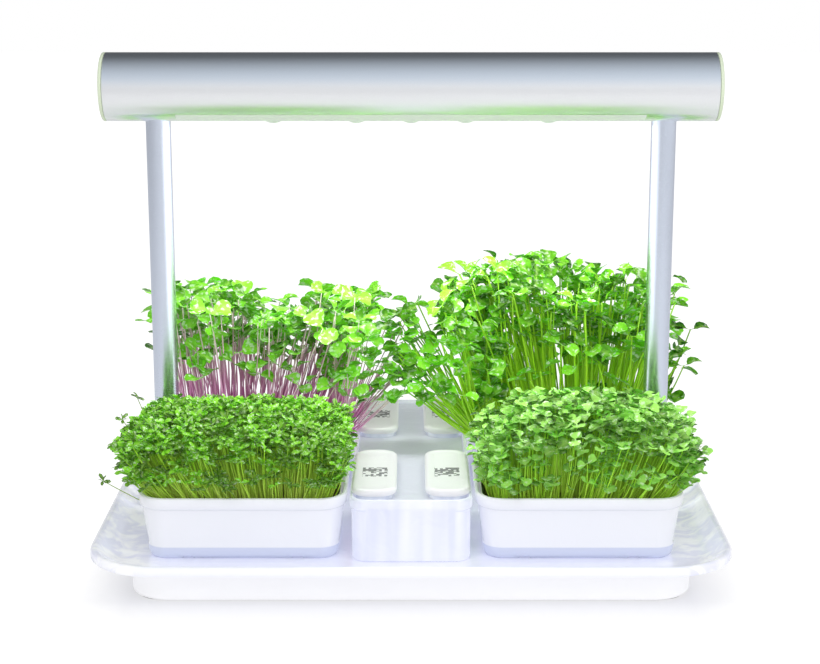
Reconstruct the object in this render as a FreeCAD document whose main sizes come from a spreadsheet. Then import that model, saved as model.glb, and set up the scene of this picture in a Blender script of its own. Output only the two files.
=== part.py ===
import FreeCAD, Part
import math
import os
import types

import Sketcher

# Countertop hydroponic garden for microgreens: a shallow water basin on a plinth,
# four grow trays round a central reservoir, and a tube lamp on two plug-in posts.
# Millimetres. Origin at the centre of the base on the surface it stands on, +Z up,
# +Y away from the person who uses it, +X to that person's right.

DRIVING = {
    "base_width": 540.0,
    "base_depth": 410.0,
    "base_corner": 60.0,
    "rim_height": 42.0,
    "rim_band": 6.0,
    "rim_drop": 8.0,
    "shell_wall": 2.5,
    "floor_level": 30.0,
    "floor_width": 482.0,
    "floor_depth": 330.0,
    "floor_corner": 30.0,
    "plinth_width": 473.0,
    "plinth_depth": 348.0,
    "plinth_corner": 35.0,
    "plinth_ledge": 14.0,
    "foot_relief": 1.5,
    "foot_radius": 15.0,
    "foot_inset": 23.5,
    "foot_thick": 2.5,
    "cover_thick": 2.5,
    "slip_gap": 0.3,
    "boss_radius": 4.5,
    "boss_inset": 6.5,
    "boss_spread": 95.0,
    "screw_radius": 1.4,
    "screw_head": 3.0,
    "screw_head_height": 1.5,
    "cut_over": 1.0,
    "screw_reach": 15.0,
    "drill_gap": 0.1,
    "post_radius": 11.0,
    "post_wall": 1.5,
    "post_spread": 222.5,
    "socket_wall": 3.0,
    "socket_base": 22.0,
    "socket_boss": 8.0,
    "socket_floor": 3.0,
    "socket_rise": 24.0,
    "socket_round": 1.0,
    "pin_radius": 1.2,
    "pin_spacing": 5.0,
    "pin_reach": 10.0,
    "plug_length": 14.0,
    "lamp_level": 412.0,
    "lamp_radius": 30.0,
    "lamp_wall": 2.5,
    "lamp_overhang": 44.5,
    "web_over": 1.5,
    "web_under": 1.0,
    "window_width": 40.0,
    "window_margin": 17.5,
    "window_corner": 0.8,
    "cap_thick": 3.0,
    "cap_round": 1.2,
    "spigot_wall": 2.0,
    "spigot_length": 5.0,
    "lens_radius": 14.0,
    "lens_proud": 1.8,
    "lens_near": 48.0,
    "lens_far": 121.0,
    "board_thick": 1.6,
    "board_width": 30.0,
    "board_inset": 10.0,
    "board_corner": 3.0,
    "chip_side": 6.0,
    "chip_thick": 1.2,
    "saddle_radius": 15.0,
    "saddle_roof": 8.0,
    "saddle_screw": 8.5,
    "lead_hole": 4.0,
    "tray_spread": 141.8,
    "tray_reach": 97.0,
    "tray_width": 176.0,
    "tray_depth": 124.0,
    "tray_height": 55.6,
    "tray_corner": 24.0,
    "tray_taper": 7.0,
    "tray_wall": 2.0,
    "tray_band": 10.0,
    "tray_skirt": 11.0,
    "skirt_proud": 0.9,
    "notch_place": 46.0,
    "notch_width": 9.0,
    "notch_height": 2.0,
    "notch_corner": 1.8,
    "insert_level": 32.0,
    "insert_rise": 22.0,
    "insert_wall": 1.2,
    "insert_gap": 0.8,
    "leg_radius": 3.0,
    "leg_inset": 10.0,
    "slot_width": 4.0,
    "slot_length": 118.0,
    "slot_corner": 1.8,
    "slot_pitch": 11.0,
    "slot_count": 8,
    "mat_thick": 6.0,
    "mat_gap": 1.6,
    "tub_width": 100.0,
    "tub_depth": 320.0,
    "tub_corner": 14.0,
    "tub_height": 55.0,
    "tub_wall": 2.0,
    "tub_band": 9.0,
    "band_proud": 1.5,
    "cap_width": 38.0,
    "cap_depth": 120.0,
    "cap_corner": 15.0,
    "cap_height": 6.0,
    "cap_edge": 1.8,
    "channel_width": 24.0,
    "channel_cross": 66.0,
    "flask_inset": 3.0,
    "flask_taper": 3.0,
    "flask_wall": 1.5,
    "button_radius": 6.0,
    "button_proud": 2.5,
    "button_length": 9.0,
    "button_flange": 2.0,
    "button_travel": 1.5,
    "button_round": 0.8,
    "button_place": 100.0,
    "button_level": 15.0,
    "switch_side": 14.0,
    "inlet_place": 60.0,
    "inlet_radius": 5.5,
    "inlet_bore": 3.1,
    "inlet_depth": 10.0,
    "inlet_pin": 1.0,
    "inlet_block": 13.0,
    "inlet_roof": 1.0,
    "inlet_proud": 0.8,
    "inlet_lap": 2.0,
    "inlet_pin_inset": 1.5,
    "driver_width": 120.0,
    "driver_depth": 60.0,
    "driver_back": 120.0,
    "standoff_rise": 5.0,
    "standoff_radius": 3.0,
    "standoff_inset": 5.0,
    "coil_side": 24.0,
    "coil_height": 12.0,
    "can_radius": 5.0,
    "can_height": 13.0,
    "stem_clear": 9.0,
    "stem_inset": 13.0,
    "stem_flare": 4.0,
    "stem_corner": 16.0,
    "fan_inset": 6.0,
    "fan_corner": 20.0,
    "short_leaf_level": 104.0,
    "short_crown_level": 128.0,
    "short_top_level": 141.0,
    "radish_stem_level": 160.0,
    "radish_leaf_level": 172.0,
    "radish_crown_level": 204.0,
    "radish_top_level": 222.0,
    "greens_stem_level": 160.0,
    "greens_leaf_level": 174.0,
    "greens_crown_level": 218.0,
    "greens_top_level": 244.0,
    "short_out": 23.0,
    "short_in": -1.2,
    "short_front": 9.0,
    "short_back": 17.0,
    "radish_out": 28.0,
    "greens_out": 36.0,
    "tall_in": 43.0,
    "tall_front": 15.0,
    "tall_back": 11.0,
    "canopy_corner": 34.0,
    "crown_inset": 5.0,
    "short_top_inset": 18.0,
    "radish_top_inset": 24.0,
    "greens_top_inset": 32.0,
    "greens_top_shift": 18.0,
}


class Size:
    """A length with its value in millimetres and its expression on the sheet of sizes."""

    def __init__(self, value, text):
        self.value = value
        self.text = text

    def __add__(self, other):
        other = as_size(other)
        return Size(self.value + other.value, f"({self.text} + {other.text})")

    def __sub__(self, other):
        other = as_size(other)
        return Size(self.value - other.value, f"({self.text} - {other.text})")

    def __mul__(self, factor):
        factor = as_size(factor)
        return Size(self.value * factor.value, f"({self.text} * {factor.text})")

    def __truediv__(self, factor):
        factor = as_size(factor)
        return Size(self.value / factor.value, f"({self.text} / {factor.text})")

    def __neg__(self):
        return Size(-self.value, f"(0 - {self.text})")

    __radd__ = __add__
    __rmul__ = __mul__


def as_size(number):
    """A Size as it is, or a plain number as a Size."""
    if isinstance(number, Size):
        return number
    return Size(number, str(number))


def make_sheet(document):
    """The sheet of driving sizes, and a namespace of the same sizes for the code."""
    page = document.addObject("Spreadsheet::Sheet", "sizes")
    for row, (alias, value) in enumerate(DRIVING.items(), start=1):
        page.set(f"A{row}", alias)
        page.set(f"B{row}", str(value))
        page.setAlias(f"B{row}", alias)
    named = {alias: Size(value, f"sizes.{alias}") for alias, value in DRIVING.items()}
    return types.SimpleNamespace(**named)


doc = FreeCAD.newDocument("garden")
s = make_sheet(doc)
doc.recompute()
finished = []

# Levels and places that several pieces share
floor_under = s.floor_level - s.shell_wall
cover_top = s.foot_relief + s.cover_thick
wall_inside = s.plinth_depth / 2 - s.shell_wall
tray_rim = s.floor_level + s.tray_height
insert_floor = s.floor_level + s.insert_level + s.insert_wall
mat_top = insert_floor + s.mat_thick
tub_rim = s.floor_level + s.tub_height
cap_spread = (s.channel_width + s.cap_width) / 2
cap_reach = (s.channel_cross + s.cap_depth) / 2
socket_inside = s.floor_level + s.socket_floor
post_foot = socket_inside + s.slip_gap
post_points = [(-s.post_spread, None), (s.post_spread, None)]
lamp_bore = s.lamp_radius - s.lamp_wall
lamp_length = 2 * (s.post_spread + s.lamp_overhang)
window_length = 2 * (s.post_spread - s.window_margin)
web_level = s.lamp_level - s.web_under
post_top = web_level - s.saddle_roof - s.slip_gap
TRAYS = {
    "front_left": (-1, -1),
    "front_right": (1, -1),
    "rear_left": (-1, 1),
    "rear_right": (1, 1),
}
SIDES = {"left": -1, "right": 1}


def bind(thing, prop, size):
    """Ties a property of an object to the sheet."""
    thing.setExpression(prop, as_size(size).text)


def place(thing, x=0.0, y=0.0, z=0.0):
    """Ties an object's place to the sheet."""
    for axis, size in zip("xyz", (x, y, z)):
        bind(thing, f"Placement.Base.{axis}", size)


def keep(thing, label):
    """Labels an object as a finished piece, whose file takes that name."""
    thing.Label = label
    finished.append(thing)
    return thing


def new_body(label, x=0.0, y=0.0, z=0.0):
    """An empty body at its place."""
    body = keep(doc.addObject("PartDesign::Body", "body_" + label), label)
    place(body, x, y, z)
    return body


def add_sketch(body, plane="XY_Plane", across=0.0, along=0.0, off=0.0):
    """A sketch on one of the body's own origin planes, moved by the given offsets."""
    sketch = body.newObject("Sketcher::SketchObject", "sketch")
    support = [f for f in body.Origin.OriginFeatures if f.Role == plane]
    sketch.AttachmentSupport = [(support[0], "")]
    sketch.MapMode = "FlatFace"
    for axis, size in zip("xyz", (across, along, off)):
        bind(sketch, f"AttachmentOffset.Base.{axis}", size)
    return sketch


def limit(sketch, *constraint):
    """Adds a constraint whose last value, where it is a Size, is tied to the sheet."""
    value = constraint[-1]
    if isinstance(value, Size):
        index = sketch.addConstraint(Sketcher.Constraint(*constraint[:-1], value.value))
        sketch.setExpression(f"Constraints[{index}]", value.text)
        return
    sketch.addConstraint(Sketcher.Constraint(*constraint))


def rounded_rectangle(sketch, width, depth, radius):
    """A rectangle with rounded corners, centred on the sketch's origin."""
    right, top, bend = width.value / 2, depth.value / 2, radius.value
    vec = FreeCAD.Vector
    centres = [
        vec(right - bend, bend - top, 0),
        vec(right - bend, top - bend, 0),
        vec(bend - right, top - bend, 0),
        vec(bend - right, bend - top, 0),
    ]
    arcs = []
    for turn, centre in enumerate(centres):
        circle = Part.Circle(centre, vec(0, 0, 1), bend)
        start = (turn - 1) * math.pi / 2
        arcs.append(Part.ArcOfCircle(circle, start, start + math.pi / 2))
    for turn, arc in enumerate(arcs):
        before = arcs[turn - 1]
        sketch.addGeometry(Part.LineSegment(before.EndPoint, arc.StartPoint))
        sketch.addGeometry(arc)
    for line in range(0, 8, 2):
        limit(sketch, "Tangent", line, 2, line + 1, 1)
        limit(sketch, "Tangent", line + 1, 2, (line + 2) % 8, 1)
        limit(sketch, "Vertical" if line % 4 else "Horizontal", line)
    for arc in (3, 5, 7):
        limit(sketch, "Equal", 1, arc)
    limit(sketch, "Symmetric", 1, 3, 5, 3, -1, 1)
    limit(sketch, "Radius", 1, radius)
    limit(sketch, "DistanceX", 6, 1, 2, 1, width)
    limit(sketch, "DistanceY", 0, 1, 4, 1, depth)


def circle(sketch, radius, x=None, y=None):
    """A circle at a point of the sketch, on its axes where a coordinate is left out."""
    across = x.value if x is not None else 0.0
    along = y.value if y is not None else 0.0
    centre = FreeCAD.Vector(across, along, 0)
    index = sketch.addGeometry(Part.Circle(centre, FreeCAD.Vector(0, 0, 1), radius.value))
    limit(sketch, "Radius", index, radius)
    if x is None:
        limit(sketch, "PointOnObject", index, 3, -2)
    else:
        limit(sketch, "DistanceX", -1, 1, index, 3, x)
    if y is None:
        limit(sketch, "PointOnObject", index, 3, -1)
    else:
        limit(sketch, "DistanceY", -1, 1, index, 3, y)


def extrude(body, kind, sketch, length, both_ways=False):
    """A Pad or Pocket of a sketch, away from it or half to each side."""
    feature = body.newObject("PartDesign::" + kind, kind.lower())
    feature.Profile = sketch
    if both_ways:
        feature.SideType = "Symmetric"
    bind(feature, "Length", length)
    return feature


def pad_block(body, low, high, width, depth, radius):
    """Adds a rounded block between two levels."""
    sketch = add_sketch(body, off=low)
    rounded_rectangle(sketch, width, depth, radius)
    return extrude(body, "Pad", sketch, high - low)


def cut_block(body, low, high, width, depth, radius, across=0.0, along=0.0):
    """Cuts a rounded block out between two levels."""
    sketch = add_sketch(body, across=across, along=along, off=(low + high) / 2)
    rounded_rectangle(sketch, width, depth, radius)
    return extrude(body, "Pocket", sketch, high - low, both_ways=True)


def pad_circles(body, low, high, radius, points=((None, None),)):
    """Adds round pillars between two levels."""
    sketch = add_sketch(body, off=low)
    for x, y in points:
        circle(sketch, radius, x, y)
    return extrude(body, "Pad", sketch, high - low)


def cut_circles(body, low, high, radius, points=((None, None),)):
    """Drills round holes between two levels."""
    sketch = add_sketch(body, off=(low + high) / 2)
    for x, y in points:
        circle(sketch, radius, x, y)
    return extrude(body, "Pocket", sketch, high - low, both_ways=True)


def loft(body, kind, sections):
    """A ruled loft through rounded rectangles: level, width, depth, corner and offsets."""
    sketches = []
    for level, width, depth, radius, *offsets in sections:
        across, along = offsets or (0.0, 0.0)
        sketch = add_sketch(body, across=across, along=along, off=level)
        rounded_rectangle(sketch, width, depth, radius)
        sketches.append(sketch)
    feature = body.newObject("PartDesign::" + kind, kind.lower())
    feature.Profile = sketches[0]
    feature.Sections = sketches[1:]
    feature.Ruled = True
    return feature


def round_edges(body, feature, radius, wanted):
    """Rounds the edges of the last feature whose box the test accepts."""
    doc.recompute()
    names = [
        f"Edge{number}"
        for number, edge in enumerate(feature.Shape.Edges, start=1)
        if wanted(edge.BoundBox)
    ]
    fillet = body.newObject("PartDesign::Fillet", "fillet")
    fillet.Base = (feature, names)
    bind(fillet, "Radius", radius)
    return fillet


def corners(x, y):
    """The four points at plus and minus x and y."""
    return [(across, along) for across in (-x, x) for along in (-y, y)]


def cylinder(radius, height, x, y, z):
    """A plain upright cylinder tied to the sheet."""
    thing = doc.addObject("Part::Cylinder", "cylinder")
    bind(thing, "Radius", radius)
    bind(thing, "Height", height)
    place(thing, x, y, z)
    return thing


def block(width, depth, height, x, y, z):
    """A plain box tied to the sheet, centred on x and y, standing on z."""
    thing = doc.addObject("Part::Box", "block")
    bind(thing, "Length", width)
    bind(thing, "Width", depth)
    bind(thing, "Height", height)
    place(thing, x - as_size(width) / 2, y - as_size(depth) / 2, z)
    return thing


def fused(parts):
    """One solid from several."""
    thing = doc.addObject("Part::MultiFuse", "joined")
    thing.Shapes = parts
    return thing


def group(label, parts):
    """One piece made of separate solids."""
    thing = doc.addObject("Part::Compound", "group_" + label)
    thing.Links = parts
    return keep(thing, label)


def boss_points():
    """Where the cover's screws go up into the plinth."""
    return corners(s.plinth_width / 2 - s.boss_inset, s.boss_spread)


def foot_points():
    """The centres of the four feet."""
    return corners(s.plinth_width / 2 - s.foot_inset, s.plinth_depth / 2 - s.foot_inset)


def make_plinth():
    """The base's lower casing: a wall with a ledge for the basin and screw bosses."""
    body = new_body("plinth_shell")
    pad_block(body, s.foot_relief, floor_under, s.plinth_width, s.plinth_depth, s.plinth_corner)
    inside = s.plinth_width - 2 * s.shell_wall
    inside_depth = s.plinth_depth - 2 * s.shell_wall
    inside_corner = s.plinth_corner - s.shell_wall
    ledge_under = floor_under - s.shell_wall
    cut_block(body, s.foot_relief - s.cut_over, ledge_under, inside, inside_depth, inside_corner)
    mouth = s.plinth_width - 2 * s.plinth_ledge
    mouth_depth = s.plinth_depth - 2 * s.plinth_ledge
    mouth_corner = s.plinth_corner - s.plinth_ledge
    through = (ledge_under - s.cut_over, floor_under + s.cut_over)
    cut_block(body, *through, mouth, mouth_depth, mouth_corner)
    pad_circles(body, cover_top, ledge_under, s.boss_radius, boss_points())
    cut_circles(body, *through, s.socket_boss + s.slip_gap, post_points)
    pilot = s.screw_radius + s.drill_gap
    pilot_end = s.foot_relief + s.screw_reach + s.cut_over
    cut_circles(body, cover_top - s.cut_over, pilot_end, pilot, boss_points())
    for across, radius in (
        (s.button_place, s.button_radius + s.slip_gap),
        (s.inlet_place, s.inlet_radius + s.slip_gap),
    ):
        back = add_sketch(body, "XZ_Plane", off=-(s.plinth_depth / 2))
        circle(back, radius, across, s.button_level)
        extrude(body, "Pocket", back, 4 * s.shell_wall, both_ways=True)


def make_basin():
    """The flared water basin with its turned-down rim and a hole for each post socket."""
    body = new_body("water_basin")
    top, drop = s.rim_height, s.rim_height - s.rim_drop
    pad_block(body, drop, top, s.base_width, s.base_depth, s.base_corner)
    wall = s.shell_wall
    hollow_width, hollow_depth = s.base_width - 2 * wall, s.base_depth - 2 * wall
    cut_block(body, drop - s.cut_over, top - wall, hollow_width, hollow_depth, s.base_corner - wall)
    mouth_width = s.base_width - 2 * s.rim_band
    mouth_depth = s.base_depth - 2 * s.rim_band
    mouth_corner = s.base_corner - s.rim_band
    floor_width, floor_depth, floor_corner = s.floor_width, s.floor_depth, s.floor_corner
    outside = [
        (floor_under, floor_width + 2 * wall, floor_depth + 2 * wall, floor_corner + wall),
        (top, mouth_width + wall, mouth_depth + wall, mouth_corner + wall / 2),
    ]
    inside = [
        (s.floor_level, floor_width, floor_depth, floor_corner),
        (top, mouth_width, mouth_depth, mouth_corner),
    ]
    loft(body, "AdditiveLoft", outside)
    loft(body, "SubtractiveLoft", inside)
    hole = s.socket_boss + s.drill_gap
    low, high = floor_under - s.cut_over, s.floor_level + s.cut_over
    last = cut_circles(body, low, high, hole, post_points)
    rim = top.value
    round_edges(body, last, s.shell_wall / 2, lambda b: b.ZMin > rim - 0.01 and outer_edge(b))


def outer_edge(box):
    """True for an edge on the outline of the base."""
    far_x = max(abs(box.XMin), abs(box.XMax)) > s.base_width.value / 2 - 0.01
    far_y = max(abs(box.YMin), abs(box.YMax)) > s.base_depth.value / 2 - 0.01
    return far_x or far_y


def make_cover():
    """The plate that closes the plinth from below, with the board's standoffs."""
    body = new_body("bottom_cover")
    edge = s.shell_wall + s.slip_gap
    width, depth = s.plinth_width - 2 * edge, s.plinth_depth - 2 * edge
    pad_block(body, s.foot_relief, cover_top, width, depth, s.plinth_corner - edge)
    sketch = add_sketch(body, off=cover_top)
    inset = s.standoff_inset
    for x, y in corners(s.driver_width / 2 - inset, s.driver_depth / 2 - inset):
        circle(sketch, s.standoff_radius, x, s.driver_back + y)
    extrude(body, "Pad", sketch, s.standoff_rise)
    recess = s.foot_thick - s.foot_relief
    cut_circles(body, s.foot_relief - recess, s.foot_relief + recess, s.foot_radius, foot_points())
    under = s.foot_relief - s.cut_over
    hole = s.screw_radius + s.slip_gap
    cut_circles(body, under, cover_top + s.cut_over, hole, boss_points())
    head = s.screw_head + s.slip_gap
    seat = s.foot_relief + s.screw_head_height + s.drill_gap
    cut_circles(body, under, seat, head, boss_points())


def make_feet():
    """Four soft feet, set into the cover."""
    feet = [cylinder(s.foot_radius, s.foot_thick, x, y, 0.0) for x, y in foot_points()]
    group("rubber_feet", feet)


def screw(x, y, head_level, tip_level, upwards=True):
    """A pan-head screw between its head's outer face and its tip."""
    if upwards:
        head = cylinder(s.screw_head, s.screw_head_height, x, y, head_level)
        shank = cylinder(s.screw_radius, tip_level - head_level, x, y, head_level)
    else:
        head_low = head_level - s.screw_head_height
        head = cylinder(s.screw_head, s.screw_head_height, x, y, head_low)
        shank = cylinder(s.screw_radius, head_level - tip_level, x, y, tip_level)
    return fused([head, shank])


def make_cover_screws():
    """The screws that hold the cover to the plinth."""
    tip = s.foot_relief + s.screw_reach
    head = s.foot_relief + s.drill_gap
    group("cover_screws", [screw(x, y, head, tip) for x, y in boss_points()])


def make_socket(name, side):
    """A socket that stands on the basin's floor and takes one post."""
    body = new_body("post_socket_" + name, side * s.post_spread)
    outer = s.post_radius + s.socket_wall
    pad_circles(body, s.socket_base, s.floor_level, s.socket_boss)
    pad_circles(body, s.floor_level, s.floor_level + s.socket_rise, outer)
    bore = s.post_radius + s.slip_gap
    cut_circles(body, socket_inside, s.floor_level + s.socket_rise + s.cut_over, bore)
    pins = [(None, -s.pin_spacing), (None, s.pin_spacing)]
    drill = s.pin_radius + s.drill_gap
    low, high = s.socket_base - s.cut_over, socket_inside + s.cut_over
    last = cut_circles(body, low, high, drill, pins)
    lip = (s.floor_level + s.socket_rise).value
    wide = outer.value
    near = 0.01
    round_edges(
        body, last, s.socket_round, lambda b: b.ZMin > lip - near and b.XMax > wide - near
    )


def make_contacts():
    """The contact pins that stand in the two sockets."""
    pins = []
    length = post_foot + s.pin_reach - s.socket_base
    for side in SIDES.values():
        for along in (-1, 1):
            x, y = side * s.post_spread, along * s.pin_spacing
            pins.append(cylinder(s.pin_radius, length, x, y, s.socket_base))
    group("contact_pins", pins)


def make_post(name, side):
    """A tube post with the plug that closes its foot."""
    post = new_body("post_" + name, side * s.post_spread)
    pad_circles(post, post_foot, post_top, s.post_radius)
    low, high = post_foot - s.cut_over, post_top + s.cut_over
    cut_circles(post, low, high, s.post_radius - s.post_wall)
    plug = new_body("post_plug_" + name, side * s.post_spread)
    inside = s.post_radius - s.post_wall - s.drill_gap
    pad_circles(plug, post_foot, post_foot + s.plug_length, inside)
    holes = [(None, -s.pin_spacing), (None, s.pin_spacing)]
    top = post_foot + s.plug_length + s.cut_over
    cut_circles(plug, post_foot - s.cut_over, top, s.pin_radius + s.slip_gap, holes)


def chord_region(sketch, radius, chord):
    """The part of a round bore beyond a level chord, above it or below it."""
    level = chord.value
    bore = radius.value
    angle = math.asin(level / bore)
    if level > 0:
        start, end = angle, math.pi - angle
    else:
        start, end = math.pi - angle, 2 * math.pi + angle
    ring = Part.Circle(FreeCAD.Vector(0, 0, 0), FreeCAD.Vector(0, 0, 1), bore)
    arc = Part.ArcOfCircle(ring, start, end)
    first = sketch.addGeometry(arc)
    line = sketch.addGeometry(Part.LineSegment(arc.EndPoint, arc.StartPoint))
    limit(sketch, "Coincident", first, 3, -1, 1)
    limit(sketch, "Radius", first, radius)
    limit(sketch, "Coincident", first, 2, line, 1)
    limit(sketch, "Coincident", line, 2, first, 1)
    limit(sketch, "Horizontal", line)
    limit(sketch, "DistanceY", -1, 1, line, 1, chord)


def make_lamp_tube():
    """The lamp's extruded tube: a round wall with a web across it that cools the lights,
    a window below for the diffuser, and drilled seats for the two posts."""
    body = new_body("lamp_tube", z=s.lamp_level)
    section = add_sketch(body, "YZ_Plane")
    circle(section, s.lamp_radius)
    chord_region(section, lamp_bore, s.web_over)
    chord_region(section, lamp_bore, -s.web_under)
    extrude(body, "Pad", section, lamp_length, both_ways=True)
    low, high = -(s.lamp_radius + s.cut_over), -(lamp_bore / 2)
    cut_block(body, low, high, window_length, s.window_width, s.window_corner)
    cut_circles(body, low, high, s.post_radius + s.slip_gap / 2, post_points)
    web_low, web_high = -(s.web_under + s.cut_over), s.web_over + s.cut_over
    cut_circles(body, web_low, web_high, s.lead_hole, post_points)
    screws = [
        (side * s.post_spread, along * s.saddle_screw)
        for side in SIDES.values()
        for along in (-1, 1)
    ]
    cut_circles(body, web_low, web_high, s.screw_radius + s.slip_gap, screws)


def make_diffuser():
    """The curved translucent strip in the lamp's window, with a dome over each light."""
    body = new_body("lamp_diffuser", z=s.lamp_level)
    skin = s.lamp_radius - s.drill_gap
    inner = s.lamp_radius - s.lamp_wall
    half = s.window_width / 2 - s.slip_gap
    section = add_sketch(body, "YZ_Plane")
    outer_angle = math.acos(half.value / skin.value)
    inner_angle = math.acos(half.value / inner.value)
    ring = FreeCAD.Vector(0, 0, 0), FreeCAD.Vector(0, 0, 1)
    arcs = []
    for radius, angle in ((skin, outer_angle), (inner, inner_angle)):
        bow = Part.Circle(*ring, radius.value)
        arcs.append(Part.ArcOfCircle(bow, math.pi + angle, 2 * math.pi - angle))
    outer = section.addGeometry(arcs[0])
    hollow = section.addGeometry(arcs[1])
    left = section.addGeometry(Part.LineSegment(arcs[0].StartPoint, arcs[1].StartPoint))
    right = section.addGeometry(Part.LineSegment(arcs[0].EndPoint, arcs[1].EndPoint))
    for arc, radius in ((outer, skin), (hollow, inner)):
        limit(section, "Coincident", arc, 3, -1, 1)
        limit(section, "Radius", arc, radius)
        limit(section, "Coincident", left, 1 if arc == outer else 2, arc, 1)
        limit(section, "Coincident", right, 1 if arc == outer else 2, arc, 2)
    limit(section, "Vertical", left)
    limit(section, "Vertical", right)
    limit(section, "DistanceX", left, 1, -1, 1, half)
    limit(section, "DistanceX", -1, 1, right, 1, half)
    strip_length = window_length - 2 * s.slip_gap
    extrude(body, "Pad", section, strip_length, both_ways=True)
    for across in lens_places():
        dome = body.newObject("PartDesign::AdditiveSphere", "dome")
        dome.AttachmentSupport = [(origin_plane(body, "XY_Plane"), "")]
        dome.MapMode = "FlatFace"
        bind(dome, "Radius", s.lens_radius)
        bind(dome, "AttachmentOffset.Base.x", across)
        bind(dome, "AttachmentOffset.Base.z", s.lens_radius - s.lamp_radius - s.lens_proud)
    core = body.newObject("PartDesign::SubtractiveCylinder", "core")
    core.AttachmentSupport = [(origin_plane(body, "YZ_Plane"), "")]
    core.MapMode = "FlatFace"
    bind(core, "Radius", inner)
    bind(core, "Height", strip_length)
    bind(core, "AttachmentOffset.Base.z", -(strip_length / 2))


def origin_plane(body, role):
    """One of a body's own origin planes."""
    return [f for f in body.Origin.OriginFeatures if f.Role == role][0]


def lens_places():
    """Where the lights sit along the lamp."""
    return [-s.lens_far, -s.lens_near, as_size(0.0), s.lens_near, s.lens_far]


def make_lights():
    """The light board under the web and its chips."""
    board = new_body("led_board")
    width = window_length - 2 * s.board_inset
    under = web_level - s.board_thick
    pad_block(board, under, web_level, width, s.board_width, s.board_corner)
    chips = [
        block(s.chip_side, s.chip_side, s.chip_thick, x, as_size(0.0), under - s.chip_thick)
        for x in lens_places()
    ]
    group("led_chips", chips)


def make_end_cap(name, side):
    """A translucent cap with a spigot inside the tube, notched round the web."""
    body = new_body("lamp_end_cap_" + name, z=s.lamp_level)
    half = lamp_length / 2
    disc = add_sketch(body, "YZ_Plane", off=side * (half + s.cap_thick / 2))
    circle(disc, s.lamp_radius)
    plate = extrude(body, "Pad", disc, s.cap_thick, both_ways=True)
    far = (half + s.cap_thick).value - 0.01
    round_edges(body, plate, s.cap_round, lambda b: min(abs(b.XMin), abs(b.XMax)) > far)
    ring = add_sketch(body, "YZ_Plane", off=side * (half - s.spigot_length / 2))
    outer = lamp_bore - s.slip_gap
    circle(ring, outer)
    circle(ring, outer - s.spigot_wall)
    extrude(body, "Pad", ring, s.spigot_length, both_ways=True)
    notch = add_sketch(body, "YZ_Plane", off=side * (half - s.spigot_length / 2))
    height = s.web_over + s.web_under + 2 * s.slip_gap
    notch.setExpression("AttachmentOffset.Base.y", ((s.web_over - s.web_under) / 2).text)
    rounded_rectangle(notch, 2 * s.lamp_radius, height, height / 4)
    extrude(body, "Pocket", notch, s.spigot_length, both_ways=True)


def make_saddle(name, side):
    """The saddle under the web that a post pushes into."""
    body = new_body("post_saddle_" + name, side * s.post_spread)
    bore = lamp_bore.value
    wide = s.saddle_radius.value
    drop = bore - math.sqrt(bore * bore - wide * wide)
    low = s.lamp_level - lamp_bore + as_size(round(drop, 2)) + s.slip_gap
    pad_circles(body, low, web_level, s.saddle_radius)
    cut_circles(body, low - s.cut_over, post_top + s.slip_gap, s.post_radius + s.drill_gap)
    cut_circles(body, post_top, web_level + s.cut_over, s.lead_hole)
    holes = [(None, -s.saddle_screw), (None, s.saddle_screw)]
    drill = s.screw_radius + s.drill_gap
    cut_circles(body, post_top + s.cut_over, web_level + s.cut_over, drill, holes)


def make_saddle_screws():
    """The screws down through the web into the two saddles."""
    screws = []
    for side in SIDES.values():
        for along in (-1, 1):
            x, y = side * s.post_spread, along * s.saddle_screw
            head = s.lamp_level + s.web_over + s.screw_head_height
            screws.append(screw(x, y, head, post_top + 2 * s.cut_over, upwards=False))
    group("saddle_screws", screws)


def make_tray(name, across, along):
    """A grow tray: tapered walls, a turned rim, a foot skirt and its drain notches."""
    x, y = across * s.tray_spread, along * s.tray_reach
    body = new_body("grow_tray_" + name, x, y, s.floor_level)
    wall, taper = s.tray_wall, s.tray_taper
    top_width, top_depth = s.tray_width - 2 * wall, s.tray_depth - 2 * wall
    foot_width, foot_depth = top_width - 2 * taper, top_depth - 2 * taper
    top_bend, foot_bend = s.tray_corner - wall, s.tray_corner - wall - taper / 2
    outside = [
        (as_size(0.0), foot_width, foot_depth, foot_bend),
        (s.tray_height, top_width, top_depth, top_bend),
    ]
    loft(body, "AdditiveLoft", outside)
    skirt = 2 * s.skirt_proud
    lean = s.tray_skirt / s.tray_height * taper * 2
    skirt_width, skirt_depth = foot_width + lean + skirt, foot_depth + lean + skirt
    skirt_bend = foot_bend + s.skirt_proud
    pad_block(body, as_size(0.0), s.tray_skirt, skirt_width, skirt_depth, skirt_bend)
    rim_low = s.tray_height - s.tray_band
    pad_block(body, rim_low, s.tray_height, s.tray_width, s.tray_depth, s.tray_corner)
    inside = [
        (wall, foot_width - 2 * wall, foot_depth - 2 * wall, foot_bend - wall),
        (s.tray_height, top_width - 2 * wall, top_depth - 2 * wall, top_bend - wall),
    ]
    loft(body, "SubtractiveLoft", inside)
    for place_x in (-s.notch_place, s.notch_place):
        notch = add_sketch(body, across=place_x, off=as_size(0.0))
        rounded_rectangle(notch, s.notch_width, 2 * s.tray_depth, s.notch_corner)
        extrude(body, "Pocket", notch, s.notch_height, both_ways=True)


def insert_width(level, full):
    """The tray's inside width or depth at a level above its foot."""
    rise = (level - s.tray_wall) / (s.tray_height - s.tray_wall)
    return full - 4 * s.tray_wall - 2 * s.tray_taper + rise * s.tray_taper * 2


def insert_bend(level):
    """The corner radius that keeps the insert's gap to the tray's inside at a level."""
    rise = (level - s.tray_wall) / (s.tray_height - s.tray_wall)
    foot_bend = s.tray_corner - 2 * s.tray_wall - s.tray_taper / 2
    return foot_bend + rise * s.tray_taper / 2 - s.insert_gap


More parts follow.
